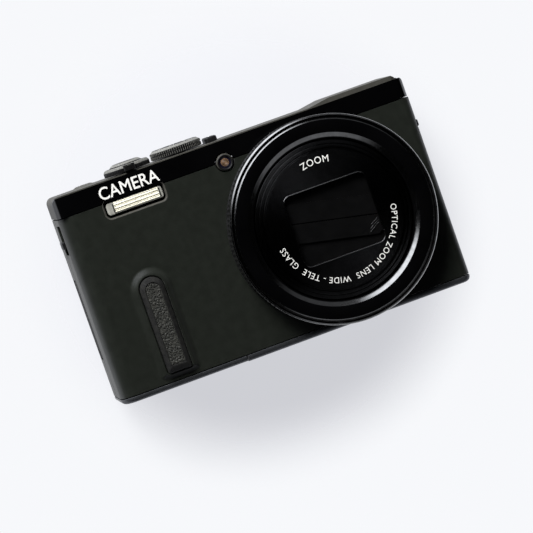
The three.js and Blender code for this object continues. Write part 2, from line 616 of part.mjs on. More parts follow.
// A metal socket that opens on the left-hand side, its mouth upright.
function sideSocket(z0, z1) {
  const { left, right, front, back, wall } = SIDE_SOCKET;
  const shell = box(left, right, front, back, z0, z1);
  const mouth = box(left - 1, right - 2 * wall, front + wall, back - wall, z0 + wall, z1 - wall);
  return cut(shell, mouth);
}
add(camera, 'usb_socket', sideSocket(16.5, 24), STEEL);
add(camera, 'hdmi_socket', sideSocket(27.5, 35), STEEL);

const glassOutline = roundedRectangle(LCD.left, LCD.bottom, LCD.right, LCD.top, 1.5);
add(camera, 'lcd_glass', pushed(glassOutline, LCD.back, LCD.proud, { segments: 3 }), GLOSS_BLACK);

const thumbOutline = roundedRectangle(THUMB_REST.left, THUMB_REST.bottom,
  THUMB_REST.right, THUMB_REST.top, [1.5, 4, 4, 1.5]);
add(camera, 'thumb_rest',
  pushed(thumbOutline, BODY.back + GAP, THUMB_REST.face, { chamfer: 0.5, segments: 4 }), RUBBER);

function eyepieceFrame() {
  const rim = pushed(roundedRectangle(EYEPIECE.left, EYEPIECE.bottom, EYEPIECE.right, EYEPIECE.top, 2),
    BODY.back + GAP, EYEPIECE.face, { chamfer: 0.4, segments: 4 });
  const opening = box(FINDER.left + 1, FINDER.right - 1, 15, 18, FINDER.bottom + 0.8, FINDER.top - 0.8);
  const seat = box(FINDER.left - GAP, FINDER.right + GAP, 15, FINDER.back + GAP,
    FINDER.bottom - GAP, FINDER.top + GAP);
  return cut(rim, opening, seat);
}
add(camera, 'eyepiece_frame', eyepieceFrame(), RUBBER);
add(camera, 'viewfinder_module', box(FINDER.left, FINDER.right, FINDER.front, FINDER.back - 0.7,
  FINDER.bottom, FINDER.top), MATTE_BLACK);
const eyepieceOutline = roundedRectangle(FINDER.left + 1.4, FINDER.bottom + 1.2,
  FINDER.right - 1.4, FINDER.top - 1.2, 1);
add(camera, 'eyepiece_lens',
  pushed(eyepieceOutline, FINDER.back - 0.4, FINDER.back + 0.4, { segments: 3 }), LENS_GLASS);

const cursorAxis = groupAt(CURSOR.x, 0, CURSOR.z);
add(cursorAxis, 'cursor_ring', turnedAboutY([[CURSOR.bore, 13], [CURSOR.ring, 13], [CURSOR.ring, 15.2],
  [CURSOR.ring - 0.6, 15.6], [CURSOR.bore, 15.4]], ROUND.dial), SATIN_BLACK);
add(cursorAxis, 'set_button', turnedAboutY([[0, 13], [CURSOR.set, 13], [CURSOR.set, 15.2],
  [CURSOR.set - 0.4, 15.5], [0, 15.4]], ROUND.button), GLOSS_BLACK);
for (const [name, [x, z]] of Object.entries(SMALL_BUTTONS)) {
  const profile = [[0, REAR_BUTTON.front], [REAR_BUTTON.radius, REAR_BUTTON.front],
    [REAR_BUTTON.radius, REAR_BUTTON.back - 0.3], [REAR_BUTTON.radius - 0.5, REAR_BUTTON.back],
    [0, REAR_BUTTON.back]];
  add(groupAt(x, 0, z), name, turnedAboutY(profile, ROUND.small), SATIN_BLACK);
}

// ---------------------------------------------------------------- inside

const batteryRight = BATTERY.left + BATTERY.width;
const batteryBack = BATTERY.front + BATTERY.depth;
add(camera, 'battery', box(BATTERY.left, batteryRight, BATTERY.front, batteryBack,
  BATTERY.bottom, BATTERY.top), CELL_GREY);

// The box is open below, where the door is, and towards the case's left wall.
function batteryBox() {
  const block = box(BATTERY.left + 1.3, batteryRight + 0.8, BATTERY.front - 0.8, 4.6, 2.3, BATTERY.top + 0.9);
  const cellRoom = box(BATTERY.left - 1, batteryRight + GAP, BATTERY.front - GAP, batteryBack + GAP,
    1, BATTERY.top + GAP);
  const cardRoom = box(CARD.left - GAP, CARD.right + GAP, CARD.front - GAP, CARD.front + CARD.thickness + GAP,
    1, CARD.top + GAP);
  return cut(block, cellRoom, cardRoom);
}
add(camera, 'battery_box', batteryBox(), MATTE_BLACK);
add(camera, 'memory_card', box(CARD.left, CARD.right, CARD.front, CARD.front + CARD.thickness,
  CARD.bottom, CARD.top), CARD_BLUE);

add(groupAt(-9.6, -3, 0), 'flash_capacitor', discZ(3.6, 13, 43, ROUND.button), CHIP);
add(groupAt(-8, 0, 7.5), 'zoom_motor', discY(3.6, -7, 5, ROUND.button), STEEL);

add(lens, 'image_sensor', box(-6, 6, 6.9, 8.2, -5, 5), CHIP);
add(lens, 'sensor_board', box(-11, 11, 8.5, 9.2, -9, 9), BOARD_GREEN);
add(camera, 'main_board', box(-46, 36, 9.8, 10.6, 6, 54), BOARD_GREEN);
add(camera, 'image_processor', box(-19, -7, 8.3, 9.5, 42, 53), CHIP);
add(camera, 'chassis_plate', box(-22, 46, 10.9, 11.5, 5, 47), STEEL);
add(camera, 'lcd_panel', box(-19, 48.2, 11.8, 13.9, 5.6, 46.4), CHIP);

export default camera;
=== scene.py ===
"""The looks of a compact travel-zoom camera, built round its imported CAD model.

Sizes are in millimetres, in the CAD frame (+X right seen from the front, lens towards -Y, +Z up),
and become metres only when a mesh is made.
"""

import json
import math

import bmesh
import bpy
from mathutils import Matrix, Vector, noise


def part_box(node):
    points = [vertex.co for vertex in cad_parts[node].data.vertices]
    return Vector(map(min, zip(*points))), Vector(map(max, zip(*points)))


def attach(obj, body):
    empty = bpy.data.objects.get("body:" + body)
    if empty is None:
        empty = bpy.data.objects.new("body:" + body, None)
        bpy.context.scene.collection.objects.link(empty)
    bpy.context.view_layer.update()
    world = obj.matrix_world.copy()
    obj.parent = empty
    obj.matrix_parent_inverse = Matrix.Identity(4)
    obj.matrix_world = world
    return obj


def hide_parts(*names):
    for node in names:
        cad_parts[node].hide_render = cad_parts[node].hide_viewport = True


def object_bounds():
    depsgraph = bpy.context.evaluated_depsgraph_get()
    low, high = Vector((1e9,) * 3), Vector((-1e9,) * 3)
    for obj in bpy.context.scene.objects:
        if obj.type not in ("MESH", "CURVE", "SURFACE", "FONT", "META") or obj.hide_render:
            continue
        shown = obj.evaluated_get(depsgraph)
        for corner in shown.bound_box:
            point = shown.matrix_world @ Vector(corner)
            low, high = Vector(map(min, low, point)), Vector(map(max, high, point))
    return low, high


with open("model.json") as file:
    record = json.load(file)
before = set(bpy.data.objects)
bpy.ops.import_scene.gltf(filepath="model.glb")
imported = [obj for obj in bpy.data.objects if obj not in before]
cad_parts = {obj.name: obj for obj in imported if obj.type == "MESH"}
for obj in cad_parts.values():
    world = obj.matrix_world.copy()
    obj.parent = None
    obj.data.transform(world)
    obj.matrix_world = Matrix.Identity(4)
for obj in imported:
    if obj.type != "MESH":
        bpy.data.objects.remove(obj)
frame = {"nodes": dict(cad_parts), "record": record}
cad_low, cad_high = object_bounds()

MM = 0.001
TAU = 2 * math.pi


# ---------------------------------------------------------------- places taken from the frame

class Box:
    """A CAD node's box at rest, in millimetres."""

    def __init__(self, node):
        low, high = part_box(node)
        self.x0, self.y0, self.z0 = (value / MM for value in low)
        self.x1, self.y1, self.z1 = (value / MM for value in high)
        self.cx = (self.x0 + self.x1) / 2
        self.cy = (self.y0 + self.y1) / 2
        self.cz = (self.z0 + self.z1) / 2
        self.reach = self.x1 - self.cx


FRONT = Box("front_cover")
REAR = Box("rear_cover")
TOP = Box("top_cover")
BAND = Box("front_trim_band")
RING = Box("control_ring")
BEZEL = Box("lens_bezel")
PAD = Box("grip_insert")
FINDER = Box("viewfinder_module")
LAMP = Box("af_lamp_window")

HALF_WIDTH = FRONT.x1                 # half the case's width
FACE_Y = BAND.y0                      # the case's front face
LENS_X, LENS_Z = RING.cx, RING.cz     # the optical axis
AXIS = (LENS_X, LENS_Z)

WALL = 1.2                            # of the moulded covers
GAP = 0.3                             # between neighbouring parts
FAR = 100                             # past everything
THROUGH_FRONT = (-12, -8)             # the reach of a cutter through the front wall
THROUGH_BACK = (12, 16)               # the same through the back wall
THROUGH_BASE = (-1, 3)                # the same through the base
THROUGH_TOP = (61, 65)                # the same through the top plate
BAND_LEVELS = (50, 70)                # the reach of a cutter along Z past the band
INSIDE = (0, 60)                      # the reach of a cutter along Z past both covers
CASE_RADII = {"front_left": 4.75, "front_right": 2.75, "rear": 4}
BAND_FRONT, BAND_SIDE_Y = 52.6, -6.5  # where the band's corner facets start and end
BAND_DEPTH = 1.1
PLATE_Z = 63.3                        # the top plate's surface beside the hump
HUMP = {"ramp": 25.3, "left": 31.5, "right": 51.2, "end": 52.6, "back": 12}
SHOULDER_RADIUS = 2.2                 # rounds both ends of the top, seen from the front
FLASH = {"left": -41.2, "right": -22.2, "bottom": 51.9, "corner": 1.6}
FLASH_LENS_ENDS = (-37.9, -24.4)
GRIP = {"half_width": 6.15, "bottom": 3.2, "top": 35.6, "corner": 1.5}
WINDOW = {"half_width": 12.45, "half_height": 10.6, "corner": 2.0}    # in the lens's front plate


# ---------------------------------------------------------------- outlines

def arc_points(cx, cy, radius, start, end, steps):
    """Points on an arc, from one angle to another in degrees."""
    return [(cx + radius * math.cos(math.radians(start + (end - start) * i / steps)),
             cy + radius * math.sin(math.radians(start + (end - start) * i / steps)))
            for i in range(steps + 1)]


def round_rectangle(x0, y0, x1, y1, radii, steps=8):
    """A rectangle's outline with a radius for each corner, from the lower left, counter-clockwise."""
    if not isinstance(radii, (list, tuple)):
        radii = [radii] * 4
    a, b, c, d = radii
    return (arc_points(x0 + a, y0 + a, a, 180, 270, steps) + arc_points(x1 - b, y0 + b, b, 270, 360, steps)
            + arc_points(x1 - c, y1 - c, c, 0, 90, steps) + arc_points(x0 + d, y1 - d, d, 90, 180, steps))


def case_outline(inset=0.0):
    """The case seen from above."""
    half = HALF_WIDTH - inset
    radii = [CASE_RADII[corner] - inset for corner in ("front_left", "front_right", "rear", "rear")]
    return round_rectangle(-half, FACE_Y + inset, half, REAR.y1 - inset, radii, steps=14)


def bend(start, pull, end, steps):
    """A smooth curve from start to end, drawn towards the pull point."""
    points = []
    for step in range(steps + 1):
        t = step / steps
        points.append(tuple((1 - t) ** 2 * a + 2 * t * (1 - t) * b + t * t * c
                            for a, b, c in zip(start, pull, end)))
    return points


def top_outline(inset, front_y):
    """The top seen from above, with a facet at each front corner."""
    half, back = HALF_WIDTH - inset, REAR.y1 - inset
    radius = CASE_RADII["rear"] - inset
    corner = BAND_FRONT - inset * 0.75
    left = bend((-half, BAND_SIDE_Y), (-half + 0.35, front_y + 0.75), (-corner, front_y), 8)
    right = bend((corner - 0.6, front_y), (half - 0.35, front_y + 0.45), (half, BAND_SIDE_Y), 10)
    return (left + right
            + arc_points(half - radius, back - radius, radius, 0, 90, 14)
            + arc_points(radius - half, back - radius, radius, 90, 180, 14))


def arch(x, half_width, bottom, top, corner, inset=0.0):
    """A strip with rounded lower corners and a half-round upper end."""
    half, base = half_width - inset, bottom + inset
    radius = max(corner - inset, 0.15)
    return (arc_points(x - half + radius, base + radius, radius, 180, 270, 6)
            + arc_points(x + half - radius, base + radius, radius, 270, 360, 6)
            + arc_points(x, top - half_width, half, 0, 180, 32))


def inset_box(box, axis, inset, radii, steps=8):
    """A box's outline across an axis, drawn in by an inset (negative: made wider)."""
    a0, b0, a1, b1 = {"x": (box.y0, box.z0, box.y1, box.z1), "y": (box.x0, box.z0, box.x1, box.z1),
                      "z": (box.x0, box.y0, box.x1, box.y1)}[axis]
    return round_rectangle(a0 + inset, b0 + inset, a1 - inset, b1 - inset, radii, steps)


def on_axis(axis, point, height):
    """The point in space of a point on an outline: "z" takes (x, y), "y" takes (x, z), "x" takes (y, z)."""
    a, b = point
    return {"z": (a, b, height), "y": (a, height, b), "x": (height, a, b)}[axis]


def lofted(axis, outline, steps):
    """Loops for a stack: the outline at each step's inset, at each step's height."""
    return [[on_axis(axis, point, height) for point in outline(inset)] for inset, height in steps]


# ---------------------------------------------------------------- meshes

def link(name, data):
    """A new object in the scene, from a mesh, a curve, a camera or a light."""
    piece = bpy.data.objects.new(name, data)
    bpy.context.scene.collection.objects.link(piece)
    return piece


def piece_from(name, points, faces, sharp=35):
    """A mesh piece from points in millimetres, with its normals made to face out."""
    mesh = bpy.data.meshes.new(name)
    mesh.from_pydata([Vector(point) * MM for point in points], [], faces)
    work = bmesh.new()
    work.from_mesh(mesh)
    bmesh.ops.recalc_face_normals(work, faces=work.faces)
    work.to_mesh(mesh)
    work.free()
    mesh.shade_smooth()
    mesh.set_sharp_from_angle(angle=math.radians(sharp))
    return link(name, mesh)


def settle(piece):
    """Applies the piece's modifiers, so that its mesh is final."""
    graph = bpy.context.evaluated_depsgraph_get()
    mesh = bpy.data.meshes.new_from_object(piece.evaluated_get(graph))
    old = piece.data
    piece.modifiers.clear()
    piece.data = mesh
    bpy.data.meshes.remove(old)
    return piece


def add_bevel(piece, width, segments, angle):
    """Rounds the edges that are sharper than the angle and keeps flat faces flat."""
    bevel = piece.modifiers.new("rounding", "BEVEL")
    bevel.width = width * MM
    bevel.segments = segments
    bevel.limit_method = "ANGLE"
    bevel.angle_limit = math.radians(angle)
    bevel.harden_normals = True


def rounded(piece, width, segments=3, angle=30):
    """Rounds the piece's sharp edges in its mesh."""
    add_bevel(piece, width, segments, angle)
    return settle(piece)


def combine(piece, tool, operation):
    """Cuts the tool out of the piece, or adds it to the piece, and removes the tool."""
    boolean = piece.modifiers.new("combine", "BOOLEAN")
    boolean.operation, boolean.solver, boolean.object = operation, "EXACT", tool
    settle(piece)
    bpy.data.objects.remove(tool)


def cut(piece, *tools):
    """Cuts the tools out of the piece and removes them."""
    for tool in tools:
        combine(piece, tool, "DIFFERENCE")
    return piece


def prism(name, outline, axis, low, high):
    """An outline of two coordinates raised along an axis."""
    count = len(outline)
    points = [on_axis(axis, point, height) for height in (low, high) for point in outline]
    sides = [(i, (i + 1) % count, count + (i + 1) % count, count + i) for i in range(count)]
    faces = sides + [tuple(range(count)), tuple(range(count, 2 * count))]
    return piece_from(name, points, faces)


def block(x0, x1, y0, y1, z0, z1, name="tool"):
    """A plain box between its limits."""
    return prism(name, [(x0, y0), (x1, y0), (x1, y1), (x0, y1)], "z", z0, z1)


def disc(x, z, radius, ends, segments=64):
    """A plain round tool along Y, from the first end to the second."""
    outline = [(x + radius * math.cos(TAU * i / segments), z + radius * math.sin(TAU * i / segments))
               for i in range(segments)]
    return prism("tool", outline, "y", *ends)


def centre_of(place, axis):
    """A centre across an axis, of a box or as it is given."""
    if isinstance(place, Box):
        return (place.cx, place.cy if axis == "z" else place.cz)
    return place


def turned(name, profile, place, axis="y", segments=96, sharp=35, teeth=None):
    """A closed profile of (radius, height) points turned about an axis through the place.

    teeth(angle, index) gives how much to take off the radius of the profile point with that index.
    """
    centre = centre_of(place, axis)
    rings, points = [], []
    for index, (radius, height) in enumerate(profile):
        ring = []
        for step in range(1 if radius == 0 else segments):
            angle = TAU * step / segments
            reach = radius - (teeth(angle, index) if teeth else 0)
            ring.append(len(points))
            across, up = centre[0] + reach * math.cos(angle), centre[1] + reach * math.sin(angle)
            points.append(on_axis(axis, (across, up), height))
        rings.append(ring)
    faces = []
    pairs = list(zip(rings, rings[1:] + rings[:1]))
    if profile[0][0] == 0:
        pairs = pairs[:-1]
    for first, second in pairs:
        for step in range(segments):
            after = (step + 1) % segments
            corners = [first[step % len(first)], first[after % len(first)],
                       second[after % len(second)], second[step % len(second)]]
            unique = list(dict.fromkeys(corners))
            if len(unique) > 2:
                faces.append(tuple(unique))
    return piece_from(name, points, faces, sharp)


def rod(radius, ends, place, axis, segments, name="tool"):
    """A plain round bar along an axis, from the first end to the second."""
    low, high = ends
    return turned(name, [(0, low), (radius, low), (radius, high), (0, high)], place, axis, segments)


def stacked(name, loops, sharp=35, closed=True):
    """A surface through a stack of loops with the same number of points, closed at both ends or open."""
    count = len(loops[0])
    points = [point for loop in loops for point in loop]
    faces = [tuple(range(count)), tuple(range(len(points) - count, len(points)))] if closed else []
    for row in range(len(loops) - 1):
        low, high = row * count, (row + 1) * count
        faces += [(low + i, low + (i + 1) % count, high + (i + 1) % count, high + i) for i in range(count)]
    return piece_from(name, points, faces, sharp)


def joined(name, pieces):
    """Several meshes made into one."""
    work = bmesh.new()
    for piece in pieces:
        work.from_mesh(piece.data)
    mesh = bpy.data.meshes.new(name)
    work.to_mesh(mesh)
    work.free()
    for piece in pieces:
        bpy.data.objects.remove(piece)
    return link(name, mesh)


# ---------------------------------------------------------------- bodies, finishes and print

SLOT_OF = {entry["node"]: entry["material_slot"] for entry in frame["record"]["subparts"]}
BODY_OF = {node: body for body, nodes in frame["record"]["behaviour"]["bodies"].items() for node in nodes}


def add_to(piece, material, node):
    """The piece is an extra detail on the CAD node: it gets the node's body and the given finish."""
    piece.data.materials.clear()
    piece.data.materials.append(material)
    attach(piece, BODY_OF[node])


def stand_for(piece, material, node):
    """The piece takes the place of the CAD node."""
    add_to(piece, material, node)
    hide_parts(node)


def paint(piece, material, place, axis, radii=(0, FAR), heights=(-FAR, FAR)):
    """A second material on the faces with their centres between two radii and two heights."""
    if material.name not in piece.data.materials:
        piece.data.materials.append(material)
    index = piece.data.materials.find(material.name)
    centre = centre_of(place, axis)
    for polygon in piece.data.polygons:
        x, y, z = polygon.center / MM
        a, b, height = (x, y, z) if axis == "z" else (x, z, y)
        reach = math.hypot(a - centre[0], b - centre[1])
        if radii[0] < reach < radii[1] and heights[0] < height < heights[1]:
            polygon.material_index = index


def text_mesh(text, cap_height, weight=0.0, spacing=1.0, stretch=1.0, width=None):
    """The words as a thin mesh in millimetres, centred on x = 0 with the base line on y = 0."""
    curve = bpy.data.curves.new("words", "FONT")
    curve.body = text
    curve.align_x = "CENTER"
    curve.offset = weight
    curve.space_character = spacing
    curve.resolution_u = 6
    holder = link("words", curve)
    graph = bpy.context.evaluated_depsgraph_get()
    mesh = bpy.data.meshes.new_from_object(holder.evaluated_get(graph))
    bpy.data.objects.remove(holder)
    across = [vertex.co.x for vertex in mesh.vertices]
    heights = [vertex.co.y for vertex in mesh.vertices]
    low, middle = min(heights), (min(across) + max(across)) / 2
    scale = cap_height / (max(heights) - low)
    if width:
        stretch = width / ((max(across) - min(across)) * scale)
    for vertex in mesh.vertices:
        vertex.co = Vector(((vertex.co.x - middle) * scale * stretch, (vertex.co.y - low) * scale, 0))
    return mesh


def shape_mesh(outlines):
    """Flat marks from outlines of (x, y) points."""
    mesh = bpy.data.meshes.new("mark")
    points, faces = [], []
    for outline in outlines:
        faces.append(tuple(range(len(points), len(points) + len(outline))))
        points += [(x, y, 0) for x, y in outline]
    mesh.from_pydata(points, [], faces)
    return mesh


def print_on(node, name, mesh, place, thickness=0.03):
    """Raised white print from a flat mesh: place(x, y, lift) gives each point in millimetres."""
    work = bmesh.new()
    work.from_mesh(mesh)
    bmesh.ops.remove_doubles(work, verts=work.verts, dist=0.0005)
    bmesh.ops.subdivide_edges(work, edges=[edge for edge in work.edges if edge.calc_length() > 0.8], cuts=1)
    extruded = bmesh.ops.extrude_face_region(work, geom=work.faces[:])
    raised = {item for item in extruded["geom"] if isinstance(item, bmesh.types.BMVert)}
    for vertex in work.verts:
        lift = thickness if vertex in raised else 0
        vertex.co = Vector(place(vertex.co.x, vertex.co.y, lift)) * MM
    bmesh.ops.recalc_face_normals(work, faces=work.faces)
    work.to_mesh(mesh)
    work.free()
    mesh.name = name
    mesh.set_sharp_from_angle(angle=math.radians(30))
    add_to(link(name, mesh), PRINT, node)


def facing_front(x0, z0, y):
    """Places print on a surface that faces -Y."""
    return lambda x, height, lift: (x0 + x, y - lift, z0 + height)


def facing_back(x0, z0, y):
    """Places print on a surface that faces +Y."""
    return lambda x, height, lift: (x0 - x, y + lift, z0 + height)


def facing_up(x0, y0, z):
    """Places print on a surface that faces +Z."""
    return lambda x, y, lift: (x0 + x, y0 + y, z + lift)


def round_the_lens(radius, centre_angle, y):
    """Places print on a circle about the optical axis, its tops outwards."""
    def place(x, height, lift):
        angle = math.radians(centre_angle) - x / radius
        reach = radius + height
        return (LENS_X + reach * math.cos(angle), y - lift, LENS_Z + reach * math.sin(angle))
    return place


# ---------------------------------------------------------------- materials

def node_of(tree, kind, settings=None, inputs=None):
    """A new shader node of a kind, with its settings and its inputs: a value, or an output to link."""
    node = tree.nodes.new("ShaderNode" + kind)
    for name, value in (settings or {}).items():
        setattr(node, name, value)
    for socket, value in (inputs or {}).items():
        if isinstance(value, bpy.types.NodeSocket):
            tree.links.new(value, node.inputs[socket])
        else:
            node.inputs[socket].default_value = value
    return node


class Shader:
    """A small builder of node materials on one Principled shader."""

    def __init__(self, name, roughness, metallic=0.0, ior=1.5, **sockets):
        self.material = bpy.data.materials.new(name)
        self.material.use_nodes = True
        self.tree = self.material.node_tree
        self.main = self.tree.nodes["Principled BSDF"]
        for socket, value in dict(sockets, Roughness=roughness, Metallic=metallic, IOR=ior).items():
            self.main.inputs[socket.replace("_", " ")].default_value = value
        self.place = self.tree.nodes.new("ShaderNodeTexCoord").outputs["Object"]

    def drive(self, socket, output):
        """Links an output to one of the main shader's sockets."""
        self.tree.links.new(output, self.main.inputs[socket])

    def texture(self, scale, detail=3.0, stretch=None):
        """Noise with its scale in repeats per millimetre."""
        place = self.place
        if stretch:
            place = node_of(self.tree, "Mapping", None, {"Vector": place, "Scale": stretch}).outputs["Vector"]
        inputs = {"Vector": place, "Scale": scale / MM, "Detail": detail}
        return node_of(self.tree, "TexNoise", None, inputs).outputs[0]

    def ramp(self, source, low_end, dark, high_end, light):
        """A colour ramp over a texture, from dark at the low end to light at the high end."""
        node = node_of(self.tree, "ValToRGB", None, {"Fac": source})
        for element, position, colour in zip(node.color_ramp.elements, (low_end, high_end), (dark, light)):
            element.position = position
            element.color = (*colour, 1)
        return node.outputs["Color"]

    def colour(self, dark, light, scale, detail=3.0):
        """A base colour that varies softly between two colours."""
        self.drive("Base Color", self.ramp(self.texture(scale, detail), 0.35, dark, 0.65, light))

    def roughness(self, low, high, scale, detail=2.0):
        """A roughness that varies softly between two values."""
        self.drive("Roughness", self.ramp(self.texture(scale, detail), 0.3, (low,) * 3, 0.7, (high,) * 3))

    def relief(self, height, source):
        """Fine relief from a texture. The height is in millimetres."""
        inputs = {"Distance": height * MM, "Height": source}
        self.drive("Normal", node_of(self.tree, "Bump", None, inputs).outputs["Normal"])


def finish(name, shine, dark, light, scale, rough, relief=None, detail=3.0, **sockets):
    """A material from its (roughness, metallic), two colours with the scale and detail of the change
    between them, the (low, high, scale, detail) of its roughness, and the (height, scale, detail, stretch)
    of its relief."""
    shader = Shader(name, *shine, **sockets)
    shader.colour(dark, light, scale, detail)
    shader.roughness(*rough)
    if relief:
        height, *noise_values = relief
        shader.relief(height, shader.texture(*noise_values))
    return shader.material


def about_the_axis(name, dark, light, roughness, groove):
    """Black metal with fine concentric turning grooves about the optical axis."""
    pitch, rings_per_unit = 0.24, 3.2
    shader = Shader(name, roughness, 1.0)
    shader.colour(dark, light, 0.5)
    centred = node_of(shader.tree, "Mapping", None, {"Vector": shader.place,
                                                     "Location": (-LENS_X * MM, 0, -LENS_Z * MM)})
    wave = node_of(shader.tree, "TexWave", {"wave_type": "RINGS", "rings_direction": "Y"},
                   {"Vector": centred.outputs["Vector"], "Scale": 1 / (pitch * MM) / rings_per_unit,
                    "Distortion": 0.2})
    shader.relief(groove, wave.outputs["Fac"])
    return shader.material


# the case: matte black moulding with a fine spark-eroded texture
MOULDED = finish("moulded_black", (0.45,), (0.0085, 0.0100, 0.0078), (0.0112, 0.0130, 0.0104), 0.4,
                 (0.40, 0.48, 1.5), (0.004, 6.0), Sheen_Weight=0.05, Sheen_Roughness=0.5)
# the base: painted metal, a little lighter and glossier than the case
BASE_METAL = finish("base_finish", (0.4, 0.4), (0.042, 0.045, 0.050), (0.055, 0.058, 0.064), 0.4,
                    (0.36, 0.46, 1.5), (0.004, 6.0), Sheen_Weight=0.1, Sheen_Roughness=0.4)
# the field of leather grain: rubber with a slight shine, its colour lighter than the rim's as a painted sheen
# for the light its grain catches
GRAIN = finish("grip_grain", (0.45,), (0.021, 0.022, 0.020), (0.040, 0.040, 0.036), 1.5,
               (0.36, 0.55, 2.5), (0.008, 7.0), Sheen_Weight=0.1, Sheen_Roughness=0.5)
# the top cover: slightly lighter, finer texture
TOP_FINISH = finish("top_finish", (0.42,), (0.046, 0.045, 0.040), (0.056, 0.055, 0.049), 0.5,
                    (0.36, 0.46, 2.0), (0.004, 8.0))
# polished black plastic with a trace of orange peel and dust-fine wipe marks
GLOSS = finish("gloss_finish", (0.08,), (0.0008, 0.0008, 0.0010), (0.0014, 0.0014, 0.0016), 0.08,
               (0.05, 0.12, 0.15, 4.0), (0.0015, 0.35, 1.0))
# anodised black metal with fine turning marks
SATIN = finish("satin_metal", (0.3, 0.55), (0.016, 0.016, 0.017), (0.028, 0.028, 0.029), 0.6,
               (0.24, 0.36, 1.2), (0.003, 9.0))
# the turning and sliding controls on the top: a deeper black than the case
CONTROL_BLACK = finish("control_finish", (0.3,), (0.004, 0.004, 0.0042), (0.0065, 0.0065, 0.0068), 0.8,
                       (0.26, 0.38, 2.0))
# painted highlight: light grey painted on the knurl tips and top chamfers of the dial, the zoom lever and the
# shutter button, in place of their glints
PAINTED_GLINT = finish("painted_glint_finish", (0.45, 0.4), (0.15, 0.15, 0.14), (0.23, 0.23, 0.215), 3.0,
                   (0.35, 0.55, 4.0))
RUBBER = finish("soft_rubber", (0.75,), (0.010, 0.010, 0.010), (0.017, 0.017, 0.016), 0.8,
                (0.68, 0.82, 2.0), (0.01, 5.0))
STEEL = finish("brushed_steel", (0.36, 1.0), (0.42, 0.42, 0.43), (0.55, 0.55, 0.56), 0.7,
               (0.26, 0.4, 2.5), (0.004, 3.0, 3.0, (1, 12, 12)))
# the bright chamfers turned into the black rings: bare aluminium under clear lacquer
CUT_EDGE = finish("cut_metal", (0.16, 1.0), (0.36, 0.36, 0.35), (0.46, 0.46, 0.45), 0.6, (0.12, 0.22, 1.5))
# the trough behind the flash lens, and the milky cream lens itself
MIRROR = finish("mirror_metal", (0.3, 0.15), (0.80, 0.78, 0.68), (0.88, 0.86, 0.76), 0.5, (0.25, 0.38, 1.0))
FLASH_LENS = finish("flash_lens_finish", (0.18,), (0.66, 0.64, 0.52), (0.84, 0.82, 0.69), 0.35,
                    (0.12, 0.26, 1.2), Coat_Weight=0.3)
# coated lens glass, dark in its depth
GLASS = finish("optical_glass", (0.02, 0.0, 1.7), (0.004, 0.006, 0.012), (0.010, 0.006, 0.018), 0.1,
               (0.015, 0.04, 0.4), Coat_Weight=0.6, Coat_Roughness=0.02)
CLEAR = finish("clear_plastic", (0.12, 0.0, 1.49), (0.60, 0.60, 0.55), (0.72, 0.72, 0.66), 0.3,
               (0.05, 0.12, 1.0), Alpha=0.4)
AMBER = finish("amber_lens", (0.12,), (0.07, 0.045, 0.028), (0.20, 0.12, 0.07), 0.9, (0.08, 0.2, 1.0),
               Coat_Weight=0.5)
# the thin blades of the lens barrier
BLADES = finish("blade_finish", (0.35, 0.3), (0.0035, 0.0035, 0.0037), (0.0050, 0.0050, 0.0052), 0.25,
                (0.3, 0.42, 0.6))
PRINT = finish("white_print", (0.45,), (0.72, 0.72, 0.70), (0.82, 0.82, 0.80), 0.8, (0.4, 0.55, 2.0))
# inside: the circuit board, its chips, the battery's wrap and the memory card
BOARD = finish("solder_mask", (0.45,), (0.012, 0.07, 0.03), (0.03, 0.13, 0.06), 0.5, (0.35, 0.6, 1.0),
               detail=6.0)
CHIP = finish("chip_plastic", (0.5,), (0.012, 0.012, 0.013), (0.022, 0.022, 0.023), 0.8,
              (0.42, 0.6, 2.0), (0.006, 5.0))
CELL = finish("cell_wrap", (0.4,), (0.05, 0.055, 0.06), (0.075, 0.08, 0.085), 0.2,
              (0.32, 0.5, 0.8), (0.005, 4.0))
CARD = finish("card_plastic", (0.35,), (0.018, 0.03, 0.10), (0.03, 0.05, 0.15), 0.3, (0.3, 0.42, 1.0))

TURNED = about_the_axis("turned_metal", (0.045, 0.045, 0.045), (0.060, 0.060, 0.060), 0.24, 0.040)
PLATE = about_the_axis("plate_metal", (0.038, 0.038, 0.038), (0.050, 0.050, 0.050), 0.26, 0.034)

CARRIED_OVER = {
    "matte_black": MOULDED, "top_grey": TOP_FINISH, "gloss_black": GLOSS, "satin_black": SATIN,
    "grip_rubber": RUBBER, "black_rubber": RUBBER, "clear_window": CLEAR, "lens_glass": GLASS,
    "amber_lamp": AMBER, "steel": STEEL, "reflector": MIRROR, "screen_glass": GLOSS,
    "circuit_board": BOARD, "chip_black": CHIP, "cell_wrap": CELL, "card_blue": CARD,
}
# the width of the rounded edge on the CAD pieces that are shown as they are
CARRIED_EDGES = {
    "lens_housing": 0.1, "zoom_lens_group": 0.15, "focus_lens_group": 0.1, "viewfinder_module": 0.2,
    "battery_box": 0.15, "flash_capacitor": 0.3, "zoom_motor": 0.3, "image_sensor": 0.08,
    "sensor_board": 0.05, "main_board": 0.05, "image_processor": 0.1, "chassis_plate": 0.08,
    "lcd_panel": 0.15, "blade_upper_inner": 0.05, "blade_upper_outer": 0.05, "blade_lower_inner": 0.05,
    "blade_lower_outer": 0.05,
}


def finish_the_cad_nodes():
    """Materials on every CAD node, and small rounded edges where the node itself is seen."""
    for node, slot in SLOT_OF.items():
        materials = frame["nodes"][node].data.materials
        materials.clear()
        materials.append(BLADES if node.startswith("blade_") else CARRIED_OVER[slot])
    for node, width in CARRIED_EDGES.items():
        add_bevel(frame["nodes"][node], width, 2, 40)


# ---------------------------------------------------------------- the view and the room

